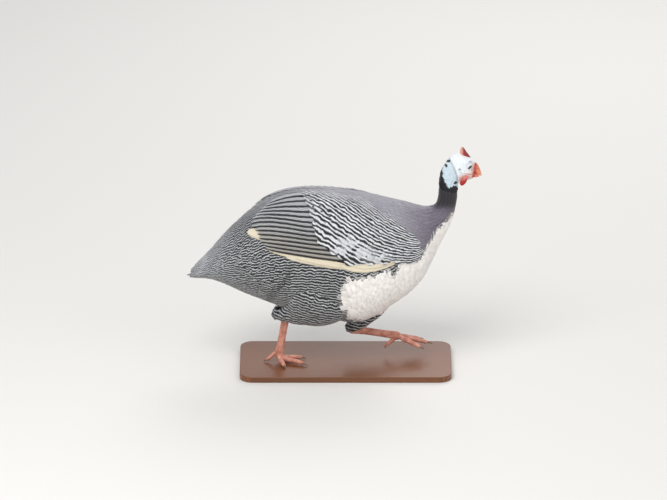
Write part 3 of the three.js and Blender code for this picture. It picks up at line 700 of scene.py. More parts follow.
def plumage_material(name, period, duty, waviness, ripples=0.55):
    """Feather keratin: rows of pale pearls run together into bars over a dark ground."""
    material, tree, surface = new_material(name, 0.62, Sheen_Weight=0.25, Sheen_Roughness=0.5)
    lanes = node(tree, "UVMap", {"uv_map": "Lanes"}).outputs[0]
    split = node(tree, "SeparateXYZ", in_0=lanes)
    lane, run = split.outputs[0], split.outputs[1]
    # A slow wander bends the rows, a quick one breaks them into pearls.
    slow, quick = (node(tree, "TexNoise", {"noise_dimensions": "2D"}, Vector=lanes, Scale=scale,
                        Detail=1.0).outputs[0] for scale in (0.07, 0.34))
    ripple = maths(tree, "SINE", maths(tree, "MULTIPLY", run, 0.45))
    bend = maths(tree, "MULTIPLY_ADD", slow, waviness * 4, lane)
    bend = maths(tree, "MULTIPLY_ADD", ripple, ripples, bend)
    wave = maths(tree, "SINE", maths(tree, "MULTIPLY", bend, 2 * math.pi / period))
    wave = maths(tree, "MULTIPLY_ADD", quick, 1.3, maths(tree, "ADD", wave, -0.65))
    bar = mapped(tree, wave, duty - 0.2, duty + 0.2, kind="SMOOTHSTEP")
    colour = mixed_colour(tree, bar, attribute(tree, "dark"), attribute(tree, "light"))
    tone = mapped(tree, attribute(tree, "luck", 2), to_min=0.94, to_max=1.05)
    # The barbs slant from the shaft to the edge.
    vane = node(tree, "UVMap", {"uv_map": "Vane"}).outputs[0]
    parts = node(tree, "SeparateXYZ", in_0=vane)
    slant = maths(tree, "MULTIPLY_ADD", maths(tree, "ABSOLUTE", parts.outputs[0]), -0.9, parts.outputs[1])
    barbs = maths(tree, "SINE", maths(tree, "MULTIPLY", slant, 2 * math.pi / BARB_SPACING))
    finish_surface(tree, surface, scaled(tree, colour, tone), barbs, 0.25, 0.0004)
    return material


def position_mm(tree):
    """The object's own coordinates, in millimetres of the row frame."""
    return scaled(tree, node(tree, "TexCoord").outputs[3], 1 / METRES)


# Settings

def length_setting(name, description, metres):
    return FloatProperty(name=name, description=description, default=metres, unit="LENGTH")


def colour_setting(name, description, colour):
    return FloatVectorProperty(name=name, description=description, subtype="COLOR", size=3,
                               default=linear(colour))


class PlumageSettings(bpy.types.PropertyGroup):
    feather_length: length_setting("Feather length", "Length of a flank feather", 0.026)
    feather_width: length_setting("Feather width", "Width of a flank feather", 0.016)
    bar_period: length_setting("Bar spacing", "Distance between rows of pearls", 0.0053)
    wing_bar_period: length_setting("Wing bar spacing", "Distance between wing bars", 0.0088)
    coat_depth: length_setting("Coat depth", "Skin below the feathers' outer face", 0.005)


class SkinSettings(bpy.types.PropertyGroup):
    face: colour_setting("Face", "Bare skin of the face", 0xE9EEF1)
    neck: colour_setting("Neck", "Bare skin of the neck", 0xCBDAE4)
    wattle: colour_setting("Wattle", "Wattles", 0xB8180F)
    bill: colour_setting("Bill", "Horn of the bill", 0xE0805F)
    leg: colour_setting("Leg", "Scaly skin of the legs", 0xDC9E89)


class StageSettings(bpy.types.PropertyGroup):
    wood: colour_setting("Wood", "Wood of the base", 0x7C4B2A)
    floor: colour_setting("Floor", "Floor", 0xE4E2DE)
    elevation: FloatProperty(name="Camera height", description="Angle above the horizon",
                             default=math.radians(20), subtype="ANGLE")
    distance: length_setting("Camera distance", "From the bird's middle", 12.0)
    lens: FloatProperty(name="Lens", description="Focal length in millimetres", default=392.6,
                        unit="CAMERA")
    seed: IntProperty(name="Seed", description="Seed of the feathers' small differences", default=7)


# The skin

SKIN_START = 0.4         # the skin ends just short of the tail's tip, whose feathers close over it
SKIN_ROWS = 270
BODY_ROWS = 70           # of which these lie below station 20, under the feathers
SKIN_COLUMNS = 150
# The skin's depth below the form at body stations, as a share of the coat's depth
SKIN_DEPTHS = [(0.4, 0.5), (2, 1), (15, 1), (19, 0.6), (21.2, 0.2), (21.9, 0.0)]
# Lines of the head: the mouth, the fold behind the cheek, the brow
MOUTH = [(233, 326.0), (224, 327.8), (216, 329.6), (208, 331.2)]
CREASE = [(190.6, 352.8), (195.5, 344), (198.8, 337), (203.2, 325), (203.8, 315.9)]
BROW = [(216, 347.0), (223.5, 349.2), (230, 346.0)]


SPREAD_ROWS = [0, BODY_ROWS / SKIN_ROWS, 1]
SPREAD_REACH = [BODY.reach(SKIN_START), BODY.reach(20.0), BODY.s[-1]]


def skin_spread(along):
    """Grid rows to reach: coarse under the feathers, fine on the bare head."""
    return np.interp(along, SPREAD_ROWS, SPREAD_REACH)


def skin_row(s):
    return np.interp(s, SPREAD_REACH, SPREAD_ROWS)


def skin_height(s, a, coat_depth):
    """How far the skin stands from the form: below it under feathers, carved on the head."""
    u = BODY.station(s)
    depth = coat_depth * np.interp(u, *zip(*SKIN_DEPTHS))
    bare = smooth(21.2, 22.4, u)
    p = BODY.at(s, a)
    x, z = p[:, 0], p[:, 2]
    flank = smooth(0.25, 0.6, np.abs(np.sin(a)))
    h = np.zeros_like(s)
    mouth = line_distance(x, z, MOUTH)
    h += flank * (0.55 * np.exp(-((mouth - 1.7) / 0.9) ** 2) - 0.9 * np.exp(-(mouth / 0.55) ** 2))
    crease = line_distance(x, z, CREASE)
    h += flank * (0.35 * np.exp(-((crease - 2.4) / 1.4) ** 2) - 0.9 * np.exp(-(crease / 0.9) ** 2))
    h += flank * 0.6 * np.exp(-(line_distance(x, z, BROW) / 1.8) ** 2)
    ear = np.hypot(x - EAR[0], z - EAR[1])
    h += flank * (0.7 * np.exp(-((ear - 2.3) / 0.7) ** 2) - 2.0 * smooth(1.9, 1.2, ear))
    neck = smooth(24.8, 23.4, u)
    fold = np.sin(a * 11 + 1.3 * np.sin(s * 0.11) + 0.8 * np.sin(s * 0.31 + a * 3))
    h += neck * 0.32 * fold + neck * 0.2 * np.sin(s * 0.9 + 2 * np.sin(a * 5))
    h += 0.10 * np.sin(x * 1.9 + 1.4 * np.sin(z * 1.1)) * np.sin(z * 2.1 + 1.2 * np.sin(x * 0.8))
    return h * bare - depth


def carve_eyes(bm):
    """Domed lids over each eyeball, with a slanting almond opening."""
    slant = math.radians(48)
    lid_dome = EYE_RADIUS + 1.1
    ball = EYE_RADIUS - 0.9         # inside the opening the skin lies behind the eyeball

    def near(point):
        return abs(point.y) > 4 and math.hypot(point.x - EYE[0], point.z - EYE[2]) < 8

    edges = [e for e in bm.edges if near(e.verts[0].co) and near(e.verts[1].co)]
    bmesh.ops.subdivide_edges(bm, edges=edges, cuts=2, use_grid_fill=True)
    bmesh.ops.triangulate(bm, faces=[f for f in bm.faces if len(f.verts) > 4])
    for v in bm.verts:
        dx, dz = v.co.x - EYE[0], v.co.z - EYE[2]
        reach = math.hypot(dx, dz)
        if reach > 10 or abs(v.co.y) < 4:
            continue
        side = 1 if v.co.y > 0 else -1
        y = abs(v.co.y)
        long_ = (dx * math.cos(slant) + dz * math.sin(slant)) / 3.9
        tall = (-dx * math.sin(slant) + dz * math.cos(slant)) / 2.0
        almond = math.hypot(long_, tall)
        # Points near the lids' edge move onto it, so that it runs clean.
        snap = 0.97 if 0.86 < almond < 1 else 1.04 if 1 <= almond < 1.14 else almond
        if snap != almond:
            v.co.x, v.co.z = EYE[0] + dx * snap / almond, EYE[2] + dz * snap / almond
            reach, almond = reach * snap / almond, snap
        if reach < lid_dome:
            y = max(y, EYE[1] + math.sqrt(lid_dome**2 - reach**2))
        if almond < 1:
            y = EYE[1] + math.sqrt(max(ball**2 - reach**2, 0))
        elif almond < 1.7:
            y += 0.35 * math.exp(-((almond - 1.18) / 0.16) ** 2)
            y -= 0.22 * math.exp(-((almond - 1.55) / 0.12) ** 2)
        y -= 0.3 * math.exp(-((reach - 6.9) / 0.7) ** 2)
        v.co.y = side * y


def bare_skin_material():
    """Bare guinea fowl skin: chalky and pale on the face, blue-grey down the neck."""
    material, tree, surface = new_material("bare_skin_chalky", 0.55, Subsurface_Weight=0.08,
                                           Subsurface_Scale=0.002, Specular_IOR_Level=0.35)
    surface.inputs["Subsurface Radius"].default_value = (1.0, 0.45, 0.35)
    place = position_mm(tree)
    tone = mapped(tree, noise(tree, place, 0.22, 4.0), 0.35, 0.7, 0.9, 1.03)
    pores = node(tree, "TexVoronoi", Vector=place, Scale=1.1).outputs[0]
    lines = noise(tree, place, 1.6, 4.0, Distortion=1.2)
    rough = maths(tree, "MULTIPLY_ADD", pores, 0.5, lines)
    finish_surface(tree, surface, scaled(tree, attribute(tree, "paint"), tone), rough, 0.5, 0.0005)
    return material


# Markings of the head in photo places: the cheek's rear edge and the nape's black edge
# as x at each y, then the pink at the gape, and blots of black with their sizes
CHEEK_EDGE = [(150, 447), (161, 449), (166, 452), (170, 454), (177, 457), (190, 458)]
NAPE_EDGE = [(162, 438.0), (168, 441.6), (178, 442.4), (184, 445.4), (189, 446.5)]
GAPE = [(461, 179), (466, 176.5), (471, 175)]
BLOTS = [(448, 161.5, 1.5), (445.6, 166, 1.4), (455, 183, 1.5)]
# Spots of painted shade under the brow and in the ear's opening, then the throat's black edge
BROW_SHADE_SPOT = (469.6, 162.3)
EAR_HOLE_SHADE = (459, 169.8)
THROAT_EDGE = 187.4
# Markings in the bird's x and z: pink round the bill, red at its root, the casque's foot
BILL_FLUSH = [(229.6, 343), (229, 328), (224, 318)]
BILL_ROOT = [(232.8, 345), (229.6, 330), (228.6, 320)]
CASQUE_FOOT = (214, 361)


def paint_skin(obj, settings):
    """Face, neck, throat and nape colours, painted shade in the folds, along the mouth line, in the ear's
    opening, under the brow and round the eye, and the coat's below the feathers, as a paint attribute at
    the skin's own points."""
    mesh = obj.data
    co = np.zeros(len(mesh.vertices) * 3)
    mesh.vertices.foreach_get("co", co)
    p = co.reshape(-1, 3) / METRES - BIRD_OFFSET
    px, py = photo_place(p)
    x, z = p[:, 0], p[:, 2]
    pink, red, black, grey = hexes(0xE9B9B0, 0xC2453B, 0x16171C, 0x9AA3AC)
    colour = np.tile(np.array(settings.face), (len(p), 1))

    def lay(over, amount):
        nonlocal colour
        colour = colour * (1 - amount[:, None]) + over * amount[:, None]

    def spot(place, wide=1.0, tall=1.0):
        return np.hypot((px - place[0]) * wide, (py - place[1]) * tall)

    behind = smooth(1.5, -1.5, px - np.interp(py, *zip(*CHEEK_EDGE)))
    lay(np.array(settings.neck), behind)
    # Painted shade in the fold behind the cheek.
    lay(grey, 0.6 * np.exp(-(line_distance(x, z, CREASE) / 1.6) ** 2))
    lay(pink, smooth(4.5, 1.0, line_distance(px, py, GAPE)) * (1 - behind))
    lay(pink, 0.8 * smooth(6, 1.5, line_distance(x, z, BILL_FLUSH)))
    lay(red, 0.9 * smooth(2.2, 0.4, line_distance(x, z, BILL_ROOT)))
    lay(pink, 0.55 * smooth(6.5, 2.5, np.hypot(x - CASQUE_FOOT[0], (z - CASQUE_FOOT[1]) * 1.2)))
    # Painted shade under the brow, over the upper lid.
    lay(grey, 0.75 * smooth(2.6, 1.2, spot(BROW_SHADE_SPOT, tall=1.6)))
    # Painted shade in the ear's opening.
    lay(grey, 0.7 * smooth(1.5, 0.5, spot(EAR_HOLE_SHADE)))
    # Painted shade along the mouth line.
    lay(grey, 0.35 * np.exp(-(line_distance(x, z, MOUTH) / 0.9) ** 2))
    for bx, by, size in BLOTS:
        turn = np.arctan2(py - by, px - bx)
        ragged = size + 0.35 * np.sin(2 * turn + bx) + 0.2 * np.sin(3 * turn + by)
        lay(black, smooth(ragged + 0.6, ragged - 0.4, spot((bx, by))))
    wander = 0.9 * np.sin(z * 0.7 + 0.4) + 0.6 * np.sin(z * 1.9 + 1.0) + 0.4 * np.sin(z * 4.1 + 2 * p[:, 1])
    nape = np.interp(py, *zip(*NAPE_EDGE))
    lay(black, smooth(1.0, -0.6, px - nape + wander * 0.5))
    ripple = 1.1 * np.sin(px * 0.55) + 0.5 * np.sin(px * 2.3) - (px < 447) * 1.5
    lay(black, smooth(-1.2, 0.4, py - THROAT_EDGE - ripple) * (px < 462) * (px > 430))
    feathered = np.maximum(smooth(191, 195, py), smooth(432, 427, px))
    lay(plumage_tone(p), feathered)
    # Painted shade round the eye, over its lids.
    lay(grey, 0.25 * smooth(8.2, 5.5, np.hypot(x - EYE[0], z - EYE[2])))
    paint = np.ones((len(p), 4), np.float32)
    paint[:, :3] = colour
    mesh.color_attributes.new("paint", "FLOAT_COLOR", "POINT").data.foreach_set("color", paint.ravel())


class GUINEA_OT_skin(bpy.types.Operator):
    """Make the bird's one skin, tail to bill, with its lids, ear, mouth line and folds"""
    bl_idname = "guinea.skin"
    bl_label = "Skin"

    def execute(self, context):
        settings = context.scene.guinea_skin
        depth = context.scene.guinea_plumage.coat_depth / METRES
        bm = shell(BODY, SKIN_ROWS, SKIN_COLUMNS, lambda s, a: skin_height(s, a, depth), skin_spread)
        carve_eyes(bm)
        obj = to_object("bird_skin", bm)
        for word, path in THIGHS.items():
            form = limb(path, (1, 0, 0))

            def below(s, a):
                return -depth * np.interp(s / form.s[-1], [0, 0.7, 1], [1.2, 0.8, 0.4])

            unite(obj, to_object(f"thigh_{word}", shell(form, 40, 40, below)))
        paint_skin(obj, settings)
        finish_piece(obj, bare_skin_material(), "face_skin", "torso", "neck", "head",
                     "thigh_left", "thigh_right")
        return {"FINISHED"}


# The coat

def own_lane(xyz, forward, across):
    """Bars that follow each feather's own length and width."""
    return np.stack([across + 0 * forward, forward + 0 * across], -1)


def level_lane(xyz, forward, across):
    """Bars that run level round a limb."""
    return np.stack([xyz[..., 2] + 0.25 * xyz[..., 0], xyz[..., 0]], -1)


def scatter(form, u0, u1, pitch, gap, random):
    """Staggered rows of roots between two stations: pitch along and gap across, in mm."""
    s_list, a_list = [], []
    s, end, row = form.reach(u0), form.reach(u1), 0
    while s < end:
        u = form.station(s)
        step, wide = pitch(u), gap(u)
        k = form.section(np.array([u]))[0]
        tall, broad = np.linalg.norm(k[3:6]), np.linalg.norm(k[6:9])
        around = math.pi * (3 * (tall + broad) - math.sqrt((3 * tall + broad) * (tall + 3 * broad)))
        count = max(6, int(around / wide))
        a = (np.arange(count) + (row % 2) / 2) / count * 2 * math.pi - math.pi
        s_list.append(s + random.normal(0, step * 0.2, count))
        a_list.append(a + random.normal(0, 0.18, count) * 2 * math.pi / count)
        s += step
        row += 1
    s, a = np.concatenate(s_list), np.concatenate(a_list)
    a = (a + math.pi) % (2 * math.pi) - math.pi
    along, _ = form.rates(s, a)
    # Where the form turns sharply its rows crowd together, so some are left out.
    picked = random.random(len(s)) < np.clip(along, 0.3, 1.0)
    return s[picked], a[picked]


# Bands of the coat and the body stations that they run between
BANDS = [("coat_rump", 0.9, 6.2), ("coat_flank", 6.2, 10.6), ("coat_breast", 10.6, 16.4),
         ("coat_neck", 16.4, 21.7)]
# Feather size along the body, by station, as a share of a flank feather's
FEATHER_SIZES = [(0, 1.35), (3, 1.2), (8, 1.0), (12, 0.85), (16, 0.62), (18, 0.42), (21.7, 0.26)]
ROW_PITCH = 5.8         # millimetres between rows of flank feathers
ROOT_GAP = 6.6          # and between the roots in a row
THIGH_FEATHER = (24, 12.5)


class GUINEA_OT_coat(bpy.types.Operator):
    """Lay the contour feathers over the body, thighs and lower neck"""
    bl_idname = "guinea.coat"
    bl_label = "Body feathers"

    def execute(self, context):
        plumage = context.scene.guinea_plumage
        seed = context.scene.guinea_stage.seed
        length = plumage.feather_length / METRES
        width = plumage.feather_width / METRES
        fine = plumage_material("contour_feather_pearled", plumage.bar_period / METRES, 0.48, 1.0)

        def scale(u):
            return np.interp(u, *zip(*FEATHER_SIZES))

        for i, (name, start, end) in enumerate(BANDS):
            coat = Coat(name, seed + i)
            s, a = scatter(BODY, start, end, lambda u: ROW_PITCH * scale(u), lambda u: ROOT_GAP * scale(u),
                           coat.random)
            k = scale(BODY.station(s))
            keep = s - length * k > BODY.reach(0.05)
            s, a, k = s[keep], a[keep], k[keep]
            droop = 0.10 * np.sin(np.abs(a)) + coat.random.normal(0, 0.07, len(s))
            lengths = length * k * (1 + coat.random.normal(0, 0.07, len(s)))
            tips = 0.3 + coat.random.normal(0, 0.05, len(s))
            coat.grow(BODY, BODY_VANE, s, a, lengths, width * k, body_paint, yaw=droop,
                      low=-2.4 * np.maximum(k, 0.4), high=tips, crown=0.15, thick=0.15, bake=skin_row)
            coat.build(fine, "plumage_dark", soften=0.8)
        self.thighs(seed, fine)
        return {"FINISHED"}

    def thighs(self, seed, material):
        legs = Coat("coat_thighs", seed + 9)
        long_, wide = THIGH_FEATHER
        for path in THIGHS.values():
            form = limb(path, (1, 0, 0))
            last = len(path) - 1
            s, a = scatter(form, 0.5, last - 0.8, lambda u: 4.2, lambda u: 5.0, legs.random)
            k = np.interp(form.station(s), [0, last - 4, last - 1, last], [0.9, 0.8, 0.6, 0.5])
            sunk = smooth(26, 0, s)      # the first rows start inside the body's coat
            legs.grow(form, BODY_VANE, s, a, long_ * k, wide * k, body_paint, low=-2.4 * k - 9 * sunk,
                      high=0.3 - 5 * sunk, thick=0.2, sense=1, lane=level_lane, crown=0.3)
        legs.build(material, "plumage_dark")


TAIL_ROOT_X = -184
# Tail tiers on each side: feathers, first angle and step in degrees, how far short of the
# tip the first ends and each next one more, height of the first and each next one's drop
TAIL_TIERS = [(8, 7, 15.5, 1.5, 2.4, 0.9, 0.12), (4, 132, 13, 14, 3, 0.4, 0)]


class GUINEA_OT_tail(bpy.types.Operator):
    """Lay the drooping tail feathers"""
    bl_idname = "guinea.tail"
    bl_label = "Tail"

    def execute(self, context):
        plumage = context.scene.guinea_plumage
        coat = Coat("tail_feathers", context.scene.guinea_stage.seed + 20)
        bars = plumage_material("tail_feather_spotted", plumage.bar_period / METRES * 0.9, 0.2, 1.4)
        angles, reach, high = [], [], []
        centre = BODY.section(BODY.u)[:, 0]
        root = BODY.reach(BODY.u[np.argmin(np.abs(centre - TAIL_ROOT_X))])
        for count, first, turn, short, shorter, height, drop in TAIL_TIERS:
            for side in (1, -1):
                for i in range(count):
                    angles.append(side * math.radians(first + turn * i))
                    reach.append(root - short - shorter * i)
                    high.append(height - drop * i)
        a = np.array(angles)
        coat.grow(BODY, WING_VANE, np.full(len(a), root), a, np.array(reach), 17.0, body_paint,
                  yaw=-0.16 * np.sin(np.abs(a)), low=-2.6, high=np.array(high), crown=0.35, taper=0.35,
                  lane=own_lane, ragged=0.03, bake=skin_row)
        coat.build(bars, "plumage_dark", "tail")
        return {"FINISHED"}


# The wings, placed by where their feathers fall in the photo

COVERT_TIPS = [(303, 193), (307, 206), (311, 220), (315, 235), (324, 246), (335, 254), (347, 262)]
COVERTS = [
    (298, 188), (330, 195), (355, 200), (373, 212), (389, 222), (401, 233), (414, 246), (418, 254),
    (411, 262), (399, 277), (388, 276), (383, 265), (370, 265), (347, 264), (333, 257), (322, 249),
    (312, 237), (307, 220), (301, 203),
]
SECONDARY_TIPS = [(268, 203), (259, 212), (252, 220), (251, 226), (256, 231), (259, 238), (267, 248)]
# White patches among the coverts: photo place and half sizes
WHITE_COVERTS = [(346, 244, 9, 4), (338, 253, 8, 3.4), (362, 253, 9, 4.4), (371, 259, 9, 3),
                 (380, 256, 5, 4)]
# Primaries: root, middle and tip in the photo, width and height in millimetres
PRIMARIES = [
    ([(300, 240), (276, 240), (247.5, 231)], 19, 1.2),
    ([(352, 267), (308, 259), (268, 249)], 13.5, 2.2),
    ([(358, 268), (322, 264), (286, 257)], 12, 1.7),
    ([(396, 262), (370, 269), (341, 266)], 13, 2.6),
    ([(400, 258), (378, 265), (352, 265)], 12, 3.0),
]


SECONDARY_COUNT = 14
COVERT_ROWS = 15
COVERTS_IN_ROW = 24
COVERT_STEP = 6.6       # photo pixels between rows
BODY_PART = 900         # of the body line's samples, those that run steadily forward
# Angles down the near side among which a photo place is looked up, and how far out in mm
ANGLES = np.linspace(0, math.radians(112), 60)
WING_STAND = 3.0
FLANK_RADIUS = 96.0     # millimetres of flank per radian


def reach_of_x(x):
    centre = BODY.section(BODY.u)[:, 0]
    return np.interp(x, centre[:BODY_PART], BODY.s[:BODY_PART])


def wing_place(px, py):
    """Reach and angle of the near-side surface seen at a photo place."""
    s = reach_of_x((px - PHOTO_ORIGIN[0]) * PIXEL_MM)
    rows = np.repeat(s.ravel()[:, None], len(ANGLES), 1)
    flat = BODY.at(rows, np.repeat(ANGLES[None], s.size, 0), WING_STAND)
    rise = RISE * flat[..., 2] - LEAN * flat[..., 1]
    want = (PHOTO_ORIGIN[1] - py.ravel()) * PIXEL_MM
    return s, np.array([np.interp(-w, -r, ANGLES) for w, r in zip(want, rise)]).reshape(s.shape)


def along_line(line, t):
    """Points at shares t of a line's length."""
    line = np.array(line, float)
    steps = np.concatenate([[0], np.cumsum(np.hypot(*np.diff(line, axis=0).T))])
    return np.stack([np.interp(t * steps[-1], steps, line[:, i]) for i in (0, 1)], -1)


def web_paint(tips, edge, random):
    """A grey web, a pale line and then a black one along its lower edge, painted shade of the gap between
    neighbouring feathers.
    """
    tone = 1 + random.normal(0, 0.05, (len(tips), 1, 1))
    warm = smooth(215, 250, tips[:, 1])[:, None, None]
    ground = blend(WEB_GREY, WEB_WARM, warm)
    # The black along the lower edge is painted shade of the gap between neighbouring feathers.
    rim = smooth(0.35, 0.5, edge)[..., None]
    dark = (ground * (1 - rim) + WEB_GAP_SHADE * rim) * tone
    light = (blend(WEB_PALE, WEB_WARM, warm * 0.5) * (1 - rim) + WEB_GAP_SHADE * rim) * tone
    return dark, light


def cream_paint(tips, edge, random):
    """Cream all over, a little darker along the lower edge."""
    shade = smooth(0.6, 1.0, edge)[..., None] * 0.3
    return CREAM * 0.93 * (1 - shade), CREAM * (1 - shade)


def covert_paint(tips, edge, random):
    """Black and white bars that fade into the mantle, with a few white feathers."""
    n = len(tips)
    px, py = (tips[:, i:i + 1] + random.normal(0, 1.0, (n, 1)) for i in (0, 1))
    patch = np.zeros((n, 1))
    for x, y, rx, ry in WHITE_COVERTS:
        patch = np.maximum(patch, smooth(1.3, 0.7, np.hypot((px - x) / rx, (py - y) / ry)))
    fade = smooth(10, -3, inside(px, py, COVERTS) + 26 * smooth(214, 250, py))[..., None] * 0.8
    tone = 1 + random.normal(0, 0.04, (n, 1, 1))
    dark = WING_BLACK * (1 - patch[..., None]) + WING_WHITE * 0.88 * patch[..., None]
    return (blend(dark, MANTLE_DARK, fade) * tone, blend(WING_WHITE, MANTLE_LIGHT, fade) * tone)


def covert_lane(s, a):
    """Bars that slant down to the front, finer and steeper toward the shoulder."""
    x = BODY.section(BODY.station(s))[..., 0]
    girth = a * FLANK_RADIUS
    finer = 1 + 0.0052 * (x + 50)
    return np.stack([(girth - 130 - 0.36 * x) * finer * 0.94, x + 0.5 * girth], -1)


class GUINEA_OT_wings(bpy.types.Operator):
    """Fold the wings: primaries, secondaries and the rows of coverts"""
    bl_idname = "guinea.wings"
    bl_label = "Wings"

    def execute(self, context):
        bar_period = context.scene.guinea_plumage.wing_bar_period / METRES
        seed = context.scene.guinea_stage.seed
        quills = plumage_material("flight_feather_grey", 3.0, 0.35, 0.5)
        bars = plumage_material("wing_covert_barred", bar_period, 0.12, 1.9, 0.2)
        for word, side in (("left", 1), ("right", -1)):
            self.flight(Coat(f"flight_feathers_{word}", seed + 30), side, quills, f"wing_{word}")
            self.coverts(Coat(f"wing_coverts_{word}", seed + 40), side, bars)
        return {"FINISHED"}

    def flight(self, coat, side, material, node_name):
        """The primaries' pale edges below, then the secondaries over them."""
        paths, widths, heights = zip(*PRIMARIES)
        heights = np.array(heights)
        coat.lay(WING_VANE, side, paths, widths, cream_paint, heights - 0.6, heights)
        t = np.linspace(0, 1, SECONDARY_COUNT)
        tips = along_line(SECONDARY_TIPS, t)
        roots = np.stack([blend(318, 358, t), blend(194, 260, t**0.96)], -1)
        middles = np.stack([blend(290, 304, t), blend(195, 253.5, t**0.96)], -1)
        high = blend(4.8, 3.0, t)
        coat.lay(WING_VANE, side, np.stack([roots, middles, tips], 1), blend(14.5, 13.0, t), web_paint,
                 high - 0.4, high, crown=0.2, taper=0.25, tilt=0.55)
        coat.build(material, "plumage_wing", node_name)

    def coverts(self, coat, side, material):
        """Rows from the longest coverts forward to the shoulder's small ones."""
        for row in range(COVERT_ROWS):
            shift = 0.5 * (row % 2)
            tips = along_line(COVERT_TIPS, (np.arange(COVERTS_IN_ROW) + shift) / (COVERTS_IN_ROW - 0.5))
            tips[:, 0] += COVERT_STEP * row
            tips += coat.random.normal(0, 1.1 if row == 0 else 0.6, tips.shape)
            tips = tips[inside(tips[:, 0] + 5, tips[:, 1], COVERTS) > -1.5]
            if len(tips) == 0:
                continue
            forward = min(row / 12, 1)
            size = blend(1.0, 0.6, forward)
            paths = np.stack([tips + (22 * size, -1.5), tips + (11 * size, -1.6), tips], 1)
            coat.lay(WING_VANE if row < 4 else BODY_VANE, side, paths, 13.5 * size, covert_paint, -0.6,
                     blend(6.0, 4.2, forward), crown=0.35, thick=0.25, lane=covert_lane, taper=0.0)
        coat.build(material, "plumage_wing")


# Bill, casque, wattles and eyes

# The nostril and the cere round it, in the bird's x and z
NOSTRIL = (235.8, 336.3)
CERE = (235.1, 336.6)
# From the bill's root to its tip
BILL_COLOURS = [(0.0, 0x7E1B16), (0.16, 0xA8362A), (0.34, 0xDD7A5E), (0.7, 0xE79A7C), (1.0, 0xE9CDAE)]
# From the pupil's middle out to the iris's rim
EYE_COLOURS = [(0.0, 0x050505), (0.4, 0x050505), (0.46, 0x3A2216), (0.72, 0x24150E), (0.8, 0x0B0807)]


